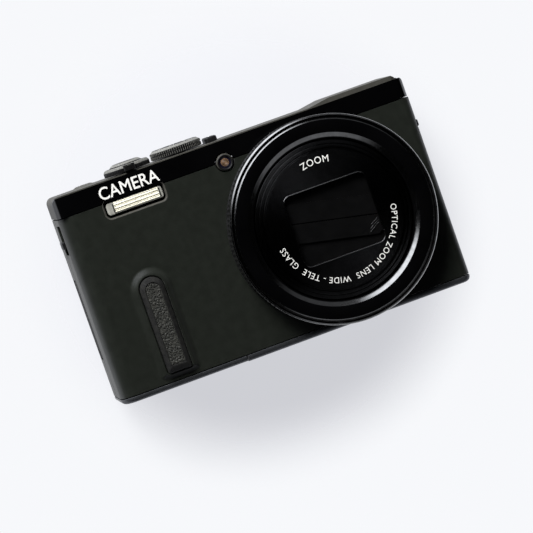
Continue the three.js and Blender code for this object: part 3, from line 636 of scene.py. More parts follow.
VIEW = {
    "azimuth": -8.35,       # degrees round the object, to its left
    "elevation": 4.04,
    "roll": 19.3,           # the object's right end is up in the picture
    "distance": 850,
    "frame_width": 156.14,  # of the picture, at the target
    "target": (-0.53, 0, 23.55),
}
WORLD_PATCHES = [
    # towards, full within, gone beyond, strength
    ((0, 1, 0), 72, 89, 1.15),                 # the white table that the object lies on
    ((0, 1, 0), 20, 68, -0.80),                # less of it straight behind
    ((-0.42, -0.35, 0.88), 18, 38, 2.00),      # the window, upper left
    ((0.45, -0.35, 0.85), 18, 45, 0.07),       # a paler wall, upper right
    ((0.15, -0.32, -1.0), 22, 48, 0.21),       # the far side of the table, below
]
DARK_FRONT = 0.0015                   # the light from everywhere else
LIGHTS = [
    # name, position, size, power, colour: a soft key from the window's side, two lights for the back
    ("window", (-230, -420, 700), (420, 420), 15.0, (1.0, 0.99, 0.96)),
    ("back_key", (-260, 560, 520), (420, 420), 6.0, (1, 1, 1)),
    ("back_fill", (420, 480, 120), (400, 400), 3.0, (1, 1, 1)),
]
LIT_POINT = (0, 0, 32)
TABLE_GLOW = 0.63                     # what the room adds to the table besides the lights here
TABLE_RADIUS = 900
SHADE_REACH = (48, 76)                # the table gives way to the pale backdrop between these radii


def make_camera():
    """The camera at the view's angles, turned about its own axis by the roll."""
    azimuth, elevation = math.radians(VIEW["azimuth"]), math.radians(VIEW["elevation"])
    back = Vector((math.sin(azimuth) * math.cos(elevation), -math.cos(azimuth) * math.cos(elevation),
                   math.sin(elevation)))
    data = bpy.data.cameras.new("view")
    data.sensor_width = 36
    data.lens = data.sensor_width * VIEW["distance"] / VIEW["frame_width"]
    data.clip_start, data.clip_end = 0.01, 20
    camera = link("view", data)
    level = (-back).to_track_quat("-Z", "Y").to_matrix().to_4x4()
    turn = Matrix.Rotation(math.radians(-VIEW["roll"]), 4, "Z")
    place = Matrix.Translation((Vector(VIEW["target"]) + back * VIEW["distance"]) * MM)
    camera.matrix_world = place @ level @ turn
    bpy.context.scene.camera = camera


def soft_step(tree, source, start, end, height=1.0):
    """Rises smoothly from 0 at the start to the height at the end."""
    inputs = {"Value": source, "From Min": start, "From Max": end, "To Max": height}
    return node_of(tree, "MapRange", {"interpolation_type": "SMOOTHSTEP"}, inputs).outputs["Result"]


def light_patch(tree, direction, towards, inner, outer, strength):
    """A soft round patch of light in the world: full inside one angle, none beyond another, in degrees."""
    dot = node_of(tree, "VectorMath", {"operation": "DOT_PRODUCT"},
                  {0: direction, 1: Vector(towards).normalized()}).outputs["Value"]
    return soft_step(tree, dot, math.cos(math.radians(outer)), math.cos(math.radians(inner)), strength)


def make_world():
    """Pale all round as the camera sees it. What it lights with is dark straight in front of the object."""
    world = bpy.data.worlds.new("studio")
    bpy.context.scene.world = world
    world.use_nodes = True
    tree = world.node_tree
    direction = tree.nodes.new("ShaderNodeTexCoord").outputs["Generated"]
    total = DARK_FRONT
    for patch in WORLD_PATCHES:
        light = light_patch(tree, direction, *patch)
        both = node_of(tree, "Math", {"operation": "ADD"}, {0: light, 1: total})
        total = both.outputs["Value"]
    tint = node_of(tree, "Mix", {"data_type": "RGBA", "blend_type": "MULTIPLY"},
                   {"Factor": 1, "A": total, "B": (0.96, 0.985, 1.06, 1)}).outputs["Result"]
    camera_ray = tree.nodes.new("ShaderNodeLightPath").outputs["Is Camera Ray"]
    seen = node_of(tree, "Mix", {"data_type": "RGBA"},
                   {"Factor": camera_ray, "A": tint, "B": (0.93, 0.94, 0.966, 1)}).outputs["Result"]
    tree.links.new(seen, tree.nodes["Background"].inputs["Color"])


def make_lights():
    """They are left out of reflections: the world's patches are what shines in the polished parts."""
    for name, position, size, power, colour in LIGHTS:
        data = bpy.data.lights.new(name, "AREA")
        data.shape = "RECTANGLE"
        data.size, data.size_y = size[0] * MM, size[1] * MM
        data.energy = power
        data.color = colour
        light = link(name, data)
        light.location = Vector(position) * MM
        light.rotation_euler = (Vector(LIT_POINT) - Vector(position)).to_track_quat("-Z", "Y").to_euler()
        light.visible_glossy = False


def table_finish():
    """White card that is clear from behind and far from the case, where the pale backdrop takes over."""
    shader = Shader("table_white", 0.9, Specular_IOR_Level=0, Emission_Color=(0.965, 0.975, 1.035, 1),
                    Emission_Strength=TABLE_GLOW)
    shader.colour((0.205, 0.209, 0.216), (0.213, 0.217, 0.224), 0.01)
    tree = shader.tree
    length = node_of(tree, "VectorMath", {"operation": "LENGTH"}, {0: shader.place}).outputs["Value"]
    far = soft_step(tree, length, SHADE_REACH[0] * MM, SHADE_REACH[1] * MM)
    behind = tree.nodes.new("ShaderNodeNewGeometry").outputs["Backfacing"]
    gone = node_of(tree, "Math", {"operation": "MAXIMUM"}, {0: far, 1: behind}).outputs["Value"]
    clear = tree.nodes.new("ShaderNodeBsdfTransparent").outputs["BSDF"]
    mix = node_of(tree, "MixShader", None, {"Fac": gone, 1: shader.main.outputs["BSDF"], 2: clear})
    tree.links.new(mix.outputs["Shader"], tree.nodes["Material Output"].inputs["Surface"])
    return shader.material


def make_table():
    """The white table that the camera lies on, its back down: a round sheet behind the case."""
    rings, spokes = 12, 64
    points = [(0, 0, 0)]
    for ring in range(1, rings + 1):
        points += [on_axis("y", point, 0) for point in
                   arc_points(0, 0, TABLE_RADIUS * ring / rings, 0, 360, spokes)[:-1]]
    faces = [(0, 1 + (spoke + 1) % spokes, 1 + spoke) for spoke in range(spokes)]
    for ring in range(rings - 1):
        start = 1 + ring * spokes
        faces += [(start + s, start + (s + 1) % spokes, start + spokes + (s + 1) % spokes, start + spokes + s)
                  for s in range(spokes)]
    mesh = bpy.data.meshes.new("table")
    mesh.from_pydata([Vector(point) * MM for point in points], [], faces)
    if mesh.polygons[0].normal.y > 0:
        mesh.flip_normals()
    mesh.materials.append(table_finish())
    table = link("table", mesh)
    table.location = Vector((0, cad_high.y / MM + 0.1, LENS_Z)) * MM
    for kind in ("diffuse", "glossy", "transmission", "shadow"):
        setattr(table, "visible_" + kind, False)


# ---------------------------------------------------------------- covers

def round_hole(box, ends, segments=64):
    """A cutter along Y for a round part, with a gap round it."""
    return disc(box.cx, box.cz, box.reach + GAP, ends, segments)


def shoulder_cutters():
    """What lies outside the round of both shoulders."""
    centre_x, centre_z = HALF_WIDTH - SHOULDER_RADIUS, BAND.z1 + 0.3 - SHOULDER_RADIUS
    cutters = []
    for side in (-1, 1):
        ends = sorted((side * centre_x, side * (HALF_WIDTH + 1)))
        corner = block(ends[0], ends[1], FACE_Y - 1, REAR.y1 + 1, centre_z, TOP.z1 + 1)
        cut(corner, disc(side * centre_x, centre_z, SHOULDER_RADIUS, (FACE_Y - 2, REAR.y1 + 2)))
        cutters.append(corner)
    return cutters


def make_front_cover():
    """The front half of the case, rounded at its ends, with holes for the lens, the flash and the lamp."""
    shell = prism("front_shell", case_outline(), "z", FRONT.z0, FRONT.z1)
    lug, wheel = Box("strap_lug"), Box("diopter_dial")
    flash_hole = round_rectangle(FLASH["left"], FLASH["bottom"], FLASH["right"], 60, FLASH["corner"])
    cut(shell, prism("tool", case_outline(WALL), "z", *INSIDE), block(-FAR, FAR, FRONT.y1, FAR, *INSIDE),
        disc(*AXIS, Box("lens_housing").x1 - LENS_X - 1.1, THROUGH_FRONT, 96),
        prism("tool", flash_hole, "y", *THROUGH_FRONT), round_hole(LAMP, THROUGH_FRONT))
    floor = block(WALL - HALF_WIDTH, 1.8 - HALF_WIDTH, lug.y0 - 2, FRONT.y1, lug.z0 - 2.6, lug.z1 + 5.3)
    cut(shell, block(-FAR, WALL - HALF_WIDTH, lug.y0 - 1.3, lug.y1 + 0.3, lug.z0 - 2, lug.z1 + 4.7),
        block(50.6, FAR, wheel.y0 - GAP, wheel.y1 + GAP, wheel.z0 - GAP, wheel.z1 + GAP))
    rounded(shell, 0.22, 2)
    stand_for(joined("front_shell", [shell, floor]), MOULDED, "front_cover")


def make_grip_boss():
    """A soft hill on the front cover that carries the insert, with a groove round the insert."""
    hill = [(-0.35, -0.5), (-0.35, -0.02), (0.0, 0.03), (0.35, 0.16), (0.75, 0.46), (1.15, 0.84), (1.5, 1.10),
            (1.85, 1.24)]
    groove = [(-0.55, 1.29), (-0.42, 1.3), (-0.34, 1.24), (-0.32, 0.5), (0.5, 0.5)]
    loops = []
    for steps, strip in ((hill, (GRIP["half_width"], GRIP["bottom"], GRIP["top"], GRIP["corner"])),
                         (groove, (PAD.reach, PAD.z0, PAD.z1, 0.6))):
        loops += lofted("y", lambda inset: arch(PAD.cx, *strip, inset),
                        [(inset, FACE_Y - height) for inset, height in steps])
    add_to(stacked("grip_hill", loops, 50), MOULDED, "front_cover")


def leather(x, z):
    """The height of leather-like grain at a point: flat cells with thin slanting creases, from 0 to 1."""
    warp = noise.noise_vector(Vector((x * 0.5, z * 0.5, 3.7))) * 0.55
    u, v = x + warp.x, z + warp.y
    slanted = Vector(((u * 0.80 + v * 0.60) * 1.75, (v * 0.80 - u * 0.60) * 1.05, 0.0))
    distances = noise.voronoi(slanted)[0]
    crease = min((distances[1] - distances[0]) / 0.34, 1.0)
    return crease * crease * (3 - 2 * crease) * (0.75 + 0.25 * noise.noise(Vector((x * 2.3, z * 2.3, 9.1))))


def make_grip_insert():
    """A rubber insert: a smooth sloping rim round a field of leather grain."""
    face = PAD.y0
    rim = [(0.0, FACE_Y - 0.6, 0), (0.0, face + 0.95, 0), (0.06, face + 0.80, 0), (0.25, face + 0.66, 0),
           (1.15, face + 0.12, 0.3), (1.32, face + 0.03, 0.5), (1.42, face + 0.1, 0.55),
           (1.45, face + 0.6, 0.6)]
    loops = [[(x, y, z) for x, z in arch(PAD.cx, PAD.reach, PAD.z0 + low, PAD.z1 - low * 0.35, 0.6, inset)]
             for inset, y, low in rim]
    stand_for(stacked("insert_rim", loops, 40), RUBBER, "grip_insert")

    field_half, field_low, field_top = PAD.reach - 1.40, PAD.z0 + 1.98, PAD.z1 - 1.56
    edge_fade, depth = 0.35, 0.34
    rows, columns = 210, 38
    points, faces = [], []
    for row in range(rows + 1):
        z = field_low + (field_top - field_low) * row / rows
        above = max(z - (field_top - field_half), 0)
        reach = math.sqrt(max(field_half ** 2 - above ** 2, 0.0001))
        for column in range(columns + 1):
            x = PAD.cx + reach * (2 * column / columns - 1)
            edge = min(reach - abs(x - PAD.cx), z - field_low, field_top - z) / edge_fade
            points.append((x, face + 0.37 - depth * leather(x, z) * min(max(edge, 0), 1), z))
    for row in range(rows):
        for column in range(columns):
            a = row * (columns + 1) + column
            faces.append((a, a + 1, a + columns + 2, a + columns + 1))
    # the grain field's colour is lighter than the rim's: a painted sheen
    add_to(piece_from("insert_grain", points, faces, 80), GRAIN, "grip_insert")


def make_rear_cover():
    """The rear half of the case, with its holes for the screen, the finder and the keys."""
    shell = prism("rear_shell", case_outline(), "z", REAR.z0, REAR.z1)
    keys = ("playback_button", "viewfinder_button", "quick_menu_button", "display_button")
    cut(shell, prism("tool", case_outline(WALL), "z", *INSIDE), block(-FAR, FAR, -FAR, REAR.y0, *INSIDE),
        prism("tool", inset_box(Box("lcd_glass"), "y", -GAP, 1.8), "y", *THROUGH_BACK),
        block(FINDER.x0 - GAP, FINDER.x1 + GAP, *THROUGH_BACK, FINDER.z0 - GAP, INSIDE[1]),
        prism("tool", inset_box(Box("terminal_door"), "x", -GAP, 1.0), "x", -FAR, -52),
        round_hole(Box("cursor_ring"), THROUGH_BACK, 96),
        *[round_hole(Box(key), THROUGH_BACK) for key in keys])
    stand_for(rounded(shell, 0.22, 2), MOULDED, "rear_cover")


def make_band():
    """The polished strip across the front, folded back round both corners."""
    strip = prism("trim_strip", top_outline(0, FACE_Y), "z", BAND.z0, BAND.z1)
    cut(strip, prism("tool", top_outline(BAND_DEPTH, FACE_Y + BAND_DEPTH), "z", *BAND_LEVELS),
        block(-FAR, FAR, BAND_SIDE_Y + GAP, FAR, *BAND_LEVELS), round_hole(LAMP, THROUGH_FRONT),
        *shoulder_cutters())
    stand_for(rounded(strip, 0.18, 2), GLOSS, "front_trim_band")


def make_top_cover():
    """The top plate with its skirt behind the band and a low hump over the finder."""
    skin = prism("top_plate", top_outline(0, FACE_Y), "z", TOP.z0, PLATE_Z)
    cut(skin, prism("tool", top_outline(WALL, FACE_Y + WALL), "z", BAND_LEVELS[0], PLATE_Z - WALL))
    ramp = [(HUMP["ramp"], PLATE_Z - 1), (HUMP["ramp"], PLATE_Z), (HUMP["left"], TOP.z1),
            (HUMP["right"], TOP.z1), (HUMP["end"], PLATE_Z), (HUMP["end"], PLATE_Z - 1)]
    combine(skin, prism("hump", ramp, "y", FACE_Y, HUMP["back"]), "UNION")
    # the cutter that makes room for the band at the front
    front = block(-FAR, FAR, -FAR, BAND_SIDE_Y + 2 * GAP, *BAND_LEVELS)
    cut(front, prism("tool", top_outline(BAND_DEPTH + GAP, FACE_Y + BAND_DEPTH + GAP), "z",
                     BAND_LEVELS[0] - 1, BAND_LEVELS[1] + 1))
    movie, power = Box("movie_button"), Box("power_button")
    stems = [rod(radius, THROUGH_TOP, place, "z", 48) for place, radius in
             ((Box("shutter_button"), 2.3), (Box("mode_dial"), 3.3), (movie, movie.reach + GAP))]
    cut(skin, front, block(FINDER.x0 - GAP, FINDER.x1 + GAP, *THROUGH_BACK, 56, FINDER.z1 + GAP),
        block(power.x0 - GAP, power.x1 + GAP, power.y0 - GAP, power.y1 + GAP, *THROUGH_TOP),
        *stems, *shoulder_cutters())
    stand_for(rounded(skin, 0.25, 3, 12), TOP_FINISH, "top_cover")


def base_plate(name, bottom):
    """The base with its rolled lower edge: each step is an inset and a height."""
    top = 1.85
    edge = [(0.0, top), (0.0, 1.55), (0.03, 1.25), (0.12, 0.95), (0.28, 0.65), (0.5, 0.40), (0.78, 0.20),
            (1.1, 0.06), (1.4, 0.0)]
    return stacked(name, lofted("z", case_outline, [(inset, height + bottom * (1 - height / top))
                                                    for inset, height in edge]), 60)


def make_base():
    """The base plate, and beside it the battery door with its sliding latch."""
    plate, door, latch = base_plate("base_cover", 0.0), Box("battery_door"), Box("door_latch")
    cut(plate, block(-FAR, Box("bottom_cover").x0, -FAR, FAR, *THROUGH_BASE),
        rod(3.975, THROUGH_BASE, Box("tripod_socket"), "z", 64),
        *[rod(1.5, THROUGH_BASE, Box(screw), "z", 40) for screw in ("base_screw_1", "base_screw_2")])
    stand_for(rounded(plate, 0.12, 2, 50), BASE_METAL, "bottom_cover")

    lid = base_plate("battery_lid", door.z0)
    cut(lid, block(door.x1, FAR, -FAR, FAR, *THROUGH_BASE),
        block(latch.x0 - GAP, latch.x1 + GAP, latch.y0 - GAP, latch.y1 + 3 + GAP, -1, 1.3))
    stand_for(rounded(lid, 0.12, 2, 50), BASE_METAL, "battery_door")

    nub = prism("latch_nub", inset_box(latch, "z", 0, 0.5), "z", latch.z0, latch.z1)
    cut(nub, *[block(latch.x0 - 1, latch.x1 + 1, latch.cy + y - 0.18, latch.cy + y + 0.18, latch.z0 - 1,
                     latch.z0 + 0.3) for y in (-1.6, -0.8, 0, 0.8, 1.6)])
    stand_for(rounded(nub, 0.08, 2), TOP_FINISH, "door_latch")


# ---------------------------------------------------------------- lens, flash and lamp

def make_control_ring():
    """A ring with straight knurling on its rim and a bright rounded front edge."""
    outer, bore, front, back = RING.reach, 30.0, RING.y0, RING.y1
    smooth = [(bore, back), (bore, front + 0.1), (bore + 0.06, front), (outer - 0.52, front),
              (outer - 0.47, front + 0.02), (outer - 0.03, front + 0.36), (outer, front + 0.42),
              (outer, front + 0.75), (outer - 0.3, front + 0.85)]
    knurled = [(outer - 0.28, front + 0.95), (outer - 0.02, front + 1.1), (outer - 0.02, back - 1.0),
               (outer - 0.28, back - 0.85)]
    rest = [(outer - 0.3, back - 0.7), (outer, back - 0.55), (outer, back)]
    teeth_count, depth = 132, 0.26
    teeth = knurl(teeth_count, depth, range(len(smooth), len(smooth) + len(knurled)), 0.6)
    ring = turned("knurled_ring", smooth + knurled + rest, AXIS, "y", teeth_count * 8, 28, teeth)
    stand_for(ring, SATIN, "control_ring")
    paint(ring, CUT_EDGE, AXIS, "y", heights=(front + 0.05, front + 0.35))


def knurl(count, depth, indexes, sharpness=0.7):
    """Teeth on the profile points with the given indexes."""
    def teeth(angle, index):
        return depth * (0.5 - 0.5 * math.cos(angle * count)) ** sharpness if index in indexes else 0
    return teeth


def make_bezel():
    """The polished ring inside the control ring, with a rounded outer edge and a hollowed inner one."""
    outer, face, back = BEZEL.x1 - LENS_X, BEZEL.y0, BEZEL.y1
    hollow = [(23.55, back), (23.55, face + 0.98), (23.9, face + 0.92), (24.3, face + 0.66),
              (24.75, face + 0.33), (25.12, face + 0.04), (25.2, face)]
    rim = [(28.85, face), (28.92, face + 0.03), (29.62, face + 0.53), (outer, face + 0.62), (outer, back)]
    bezel = turned("bezel_ring", hollow + rim, AXIS, "y", 192, 40)
    stand_for(bezel, GLOSS, "lens_bezel")
    for chamfer in ((24.05, 25.0), (28.95, 29.6)):
        paint(bezel, CUT_EDGE, AXIS, "y", chamfer, (face + 0.04, face + 0.9))


def make_barrels():
    """Three tubes with fine grooves. The front one has a seat inside it for the barrier's plate."""
    seat_front, seat_back, seat_bore = -12.4, -13.6, 10.8
    for node, bore, radius, front in (("barrel_outer", 21.95, 23.1, Box("barrel_outer").y0),
                                      ("barrel_middle", 20.85, 21.85, Box("barrel_outer").y0),
                                      ("barrel_front", 19.95, 20.75, Box("barrel_front").y0)):
        back = Box(node).y1
        profile = [(bore, back), (bore, front + 0.1), (bore + 0.08, front), (radius - 0.15, front),
                   (radius, front + 0.15)]
        for start in (front + 1.6, front + 2.3, front + 9.5):
            profile += [(radius, start), (radius - 0.12, start + 0.05), (radius - 0.12, start + 0.2),
                        (radius, start + 0.25)]
        profile.append((radius, back))
        if node == "barrel_front":
            profile[1:1] = [(bore, seat_front), (seat_bore, seat_front), (seat_bore, seat_back),
                            (bore, seat_back)]
        stand_for(turned(node + "_tube", profile, AXIS, "y", 160, 40), TURNED, node)


def window_outline(inset=0.0):
    """The window in the front plate, drawn in by an inset."""
    across, up = WINDOW["half_width"] - inset, WINDOW["half_height"] - inset
    return round_rectangle(LENS_X - across, LENS_Z - up, LENS_X + across, LENS_Z + up,
                           WINDOW["corner"] - inset)


def make_front_plate():
    """The disc round the window, with a rounded window edge and white words round it."""
    box = Box("front_plate")
    radius, face = box.x1 - LENS_X, box.y0
    plate = turned("name_plate", [(0, box.y1), (0, face), (radius - 0.12, face), (radius, face + 0.12),
                                  (radius, box.y1)], AXIS, "y", 160)
    cut(plate, prism("tool", window_outline(), "y", -20, -10))
    stand_for(rounded(plate, 0.14, 2, 40), PLATE, "front_plate")
    lip = [(0.0, 0.45), (-0.02, 0.0), (-0.08, -0.09), (-0.18, -0.09), (-0.28, 0.0), (-0.3, 0.1)]
    loops = lofted("y", window_outline, [(inset, face + depth) for inset, depth in lip])
    add_to(stacked("window_lip", loops, 60, closed=False), CUT_EDGE, "front_plate")
    words = [("ZOOM", 90.5, 2.0), ("OPTICAL ZOOM LENS  WIDE - TELE  GLASS", -87.5, 1.75)]
    for number, (text, angle, height) in enumerate(words):
        print_on("front_plate", "lens_words_%d" % number, text_mesh(text, height, 0.0, 1.15, 0.88),
                 round_the_lens(16.75, angle, face))


def make_blade_steps():
    """Three short raised steps across the lower right end of the window's blades."""
    front = Box("blade_lower_inner").y0
    start, rise, width = (8.9, -7.0), (3.3, 1.9), 0.12
    end_x = LENS_X + start[0] + rise[0]
    for number in range(3):
        x, z = LENS_X + start[0] + 0.5 * number, LENS_Z + start[1] + 1.0 * number
        end_z = z + rise[1] * (end_x - x) / rise[0]
        outline = [(x, z - width), (end_x, end_z - width), (end_x, end_z), (x, z)]
        step = prism("blade_step_%d" % number, outline, "y", front - 0.08, front + 0.02)
        add_to(rounded(step, 0.03, 2), CUT_EDGE, "blade_lower_inner")


def make_front_lens():
    """Curved glass for the front lens."""
    box = Box("front_lens")
    radius, bulge, steps = box.x1 - LENS_X, 1.3, 12
    curve = [(radius * i / steps, box.y0 + bulge * (i / steps) ** 2) for i in range(steps + 1)]
    profile = [(0, box.y1)] + curve + [(radius, box.y1)]
    stand_for(turned("front_element", profile, AXIS, "y", 96, 30), GLASS, "front_lens")


def make_flash():
    """A rimmed recess with a clear pane."""
    pane = Box("flash_window")
    rim = [(-0.05, 0.0), (0.05, -0.04), (0.18, 0.0), (0.42, 0.34), (0.5, 0.6), (0.52, 1.1)]

    def recess(inset):
        return round_rectangle(FLASH["left"] + inset, FLASH["bottom"] + inset, FLASH["right"] - inset, 58,
                               FLASH["corner"] + 0.3 - inset)
    loops = lofted("y", recess, [(inset, FACE_Y + depth) for inset, depth in rim])
    add_to(stacked("flash_rim", loops, 60, closed=False), TOP_FINISH, "front_cover")

    def outline(inset):
        return round_rectangle(pane.x0 + inset, pane.z0 + inset, pane.x1 - inset, pane.z1, 0.8 - inset)
    loops = lofted("y", outline, [(0.25, pane.y0 + 0.05), (0.1, pane.y0 + 0.12), (0.0, pane.y0 + 0.3),
                                  (0.0, pane.y0 + 1.1)])
    stand_for(stacked("flash_pane", loops, 50), CLEAR, "flash_window")


def make_flash_lens():
    """A lens with level ribs in the pane, with a dark stop at each end."""
    pane = Box("flash_window")
    front, low, swell = pane.y0 + 0.08, pane.z0 + 0.35, 0.3
    ribs = [0.5, 0.34, 0.82, 0.3, 0.74, 0.3]       # heights from the bottom, to be shared over the pane
    scale = (pane.z1 - pane.z0 - 0.5) / sum(ribs)
    profile, z = [(front, low)], low
    for rib in ribs:
        for step in range(1, 7):
            share = step / 6
            profile.append((front - swell * rib ** 0.5 * math.sin(math.pi * share), z + rib * scale * share))
        z += rib * scale
    back = pane.y0 + 0.9
    lens = prism("flash_lens", profile + [(back, profile[-1][1]), (back, low)], "x", *FLASH_LENS_ENDS)
    lens.data.set_sharp_from_angle(angle=math.radians(75))
    add_to(lens, FLASH_LENS, "flash_window")
    for number, x in enumerate((FLASH_LENS_ENDS[0] - 0.35, FLASH_LENS_ENDS[1] + 0.3)):
        outline = round_rectangle(x - 0.14, pane.z0 + 0.5, x + 0.14, pane.z1 - 0.4, 0.1, 3)
        stop = prism("flash_stop_%d" % number, outline, "y", pane.y0 - 0.12, pane.y0 + 0.8)
        add_to(rounded(stop, 0.04, 2), MOULDED, "flash_window")


def make_flash_trough():
    """The bright trough behind the pane, with the flash tube along it."""
    trough, centre_z = Box("flash_reflector"), Box("flash_window").cz
    depth, half = 3.4, 1.6
    curve = []
    for angle in range(-80, 81, 16):
        deep, up = math.cos(math.radians(angle)), math.sin(math.radians(angle))
        curve.append((trough.y0 + 0.4 + depth * deep, centre_z + half * up))
    outer = [(y + 0.3, z + (0.25 if z > centre_z else -0.25)) for y, z in reversed(curve)]
    stand_for(prism("flash_trough", curve + outer, "x", -37.6, -24.7), MIRROR, "flash_reflector")
    tube = rod(0.65, (-39.2, -23.5), (trough.y0 + 2.4, centre_z), "x", 24, "flash_tube")
    add_to(tube, CLEAR, "flash_reflector")


def make_lamp():
    """The autofocus lamp: a polished rim round an amber dome with fine rings."""
    outer, inner, foot, front = LAMP.reach, 1.75, -9.0, -10.15
    profile = [(inner, LAMP.y1), (inner, -10.05), (inner + 0.12, -10.3), (inner + 0.35, -10.42),
               (outer - 0.3, -10.3), (outer, -9.9), (outer, LAMP.y1)]
    rim = turned("lamp_rim", profile, LAMP, "y", 64, 50)
    add_to(rim, SATIN, "af_lamp_window")
    paint(rim, TOP_FINISH, LAMP, "y", (outer - 0.35, FAR), (-FAR, -9.85))
    dome = [(0, foot), (0, front)]
    for step in range(1, 17):
        ridge = 0.07 if step % 2 else 0
        dome.append((inner * step / 16, front + 0.3 * (step / 16) ** 2 + ridge))
    lamp = turned("lamp_dome", dome + [(inner, foot)], LAMP, "y", 64, 20)
    stand_for(lamp, AMBER, "af_lamp_window")
    paint(lamp, GLASS, LAMP, "y", (1.25, FAR))


def make_wordmark():
    """Plain generic lettering on the band."""
    print_on("front_trim_band", "band_words", text_mesh("CAMERA", 3.7, 0.01, width=18.1),
             facing_front(-31.9, 58.05, FACE_Y))


# ---------------------------------------------------------------- controls on the top

def make_zoom_lever():
    """A ring with a milled rim and a ribbed tab that points forward."""
    box, button = Box("zoom_lever"), Box("shutter_button")
    radius, low, high = box.reach, box.z0, box.z1
    profile = [(5.2, low), (radius - 0.15, low), (radius, low + 0.15), (radius, high - 0.75),
               (radius - 0.45, high - 0.1), (radius - 0.75, high), (5.45, high), (5.2, high - 0.25)]
    ring = turned("lever_ring", profile, button, "z", 288, 30, knurl(72, 0.14, (2, 3)))
    outline = round_rectangle(box.cx - 1.7, box.y0, box.cx + 1.7, box.y0 + 2.6, [0.8, 0.8, 0.2, 0.2])
    tab = prism("lever_tab", outline, "z", low + 0.2, high - 0.1)
    cut(tab, *[block(box.cx + x - 0.16, box.cx + x + 0.16, box.y0 - 1, box.y0 + 1.6, high - 0.45, high + 1)
               for x in (-0.9, -0.3, 0.3, 0.9)])
    stand_for(ring, CONTROL_BLACK, "zoom_lever")
    # painted highlight: the ring's upper chamfer is painted light grey
    paint(ring, PAINTED_GLINT, button, "z", (radius - 0.8, FAR), (high - 0.7, high - 0.02))
    add_to(rounded(tab, 0.12, 2), CONTROL_BLACK, "zoom_lever")


def make_shutter():
    """A dished button, its chamfer painted light grey as a painted highlight."""
    box = Box("shutter_button")
    radius, top = box.reach, box.z1
    profile = [(0, box.z0), (2, box.z0), (2, 64.1), (radius - 0.3, 64.1), (radius, 64.4), (radius, 65.6),
               (radius - 0.12, 65.85), (radius - 0.55, 66.2), (3.9, 66.42), (3.3, top), (2.6, top - 0.04),
               (1.4, top - 0.14), (0, top - 0.18)]
    cap = turned("shutter_cap", profile, box, "z", 96, 40)
    stand_for(cap, CONTROL_BLACK, "shutter_button")
    # painted highlight: the chamfer round the top is painted light grey
    paint(cap, PAINTED_GLINT, box, "z", (4.0, FAR), (65.85, 66.4))


def make_mode_dial():
    """A dial with two rows of fine knurling, a chamfered crown and plain marks."""
    box = Box("mode_dial")
    radius, low, top = box.reach, box.z0 + 2.1, box.z1
    profile = [(0, box.z0), (3, box.z0), (3, low), (radius - 0.4, low), (radius - 0.1, low + 0.12),
               (radius, low + 0.25), (radius, low + 1.0), (radius - 0.24, low + 1.08),
               (radius - 0.24, low + 1.18), (radius, low + 1.26), (radius, top - 0.85),
               (radius - 0.2, top - 0.7), (radius - 1.0, top - 0.05), (radius - 1.15, top),
               (radius - 1.5, top), (radius - 1.6, top - 0.08), (0, top - 0.08)]
    crown = turned("dial_crown", profile, box, "z", 576, 30, knurl(72, 0.3, (5, 6, 9, 10)))
    stand_for(crown, CONTROL_BLACK, "mode_dial")
    # painted highlight: the knurl teeth's tips and the crown's chamfer are painted light grey
    paint(crown, PAINTED_GLINT, box, "z", (radius - 0.1, FAR), (low + 0.2, top - 0.8))
    paint(crown, PAINTED_GLINT, box, "z", (radius - 1.0, radius - 0.2), (top - 0.6, FAR))
    marks = ["M", "S", "A", "P", "1", "2", "3", "4"]
    for number, mark in enumerate(marks):
        turn, middle = TAU * number / len(marks), radius - 3.6

        def place(x, height, lift):
            up = middle + height
            return (box.cx + x * math.cos(turn) - up * math.sin(turn),
                    box.cy + x * math.sin(turn) + up * math.cos(turn), top - 0.09 + lift)
        print_on("mode_dial", "dial_mark_%d" % number, text_mesh(mark, 1.5), place)


def make_power_and_movie():
    """A flat power key with a line on it, and a round movie key in a low collar."""
    box, movie = Box("power_button"), Box("movie_button")
    steps = [(0.0, box.z0), (0.0, box.z1 - 0.45), (0.12, box.z1 - 0.2), (0.4, box.z1 - 0.02), (0.9, box.z1)]
    loops = lofted("z", lambda inset: inset_box(box, "z", inset, max(1.0 - inset, 0.3)), steps)
    stand_for(stacked("power_key", loops, 60), CONTROL_BLACK, "power_button")
    line = round_rectangle(-0.18, -0.9, 0.18, 0.9, 0.15, 4)
    print_on("power_button", "power_mark", shape_mesh([line]), facing_up(box.cx, box.cy, box.z1))

    radius, top = movie.reach, movie.z1
    profile = [(0, movie.z0), (radius, movie.z0), (radius, 63.4), (radius - 0.2, 63.6), (2.2, top - 0.03),
               (1.4, top), (1.3, top - 0.1), (0, top - 0.1)]
    stand_for(turned("movie_key", profile, movie, "z", 64, 40), TOP_FINISH, "movie_button")
    collar = [(radius + 0.32, 63.2), (radius + 0.32, 63.42), (radius + 0.75, 63.34), (radius + 0.9, 63.2)]
    add_to(turned("movie_collar", collar, movie, "z", 64, 40), TOP_FINISH, "top_cover")


# ---------------------------------------------------------------- sides

def make_diopter_wheel():
    """The eyepiece's knurled wheel, half sunk in the case's end."""
    wheel = Box("diopter_dial")
    radius = (wheel.y1 - wheel.y0) / 2
    profile = [(0, wheel.z0), (radius - 0.25, wheel.z0), (radius, wheel.z0 + 0.25), (radius, wheel.z1 - 0.25),
               (radius - 0.25, wheel.z1), (0, wheel.z1)]
    stand_for(turned("diopter_wheel", profile, (wheel.x1 - radius, wheel.cy), "z", 240, 35,
                     knurl(40, 0.22, (2, 3))), SATIN, "diopter_dial")


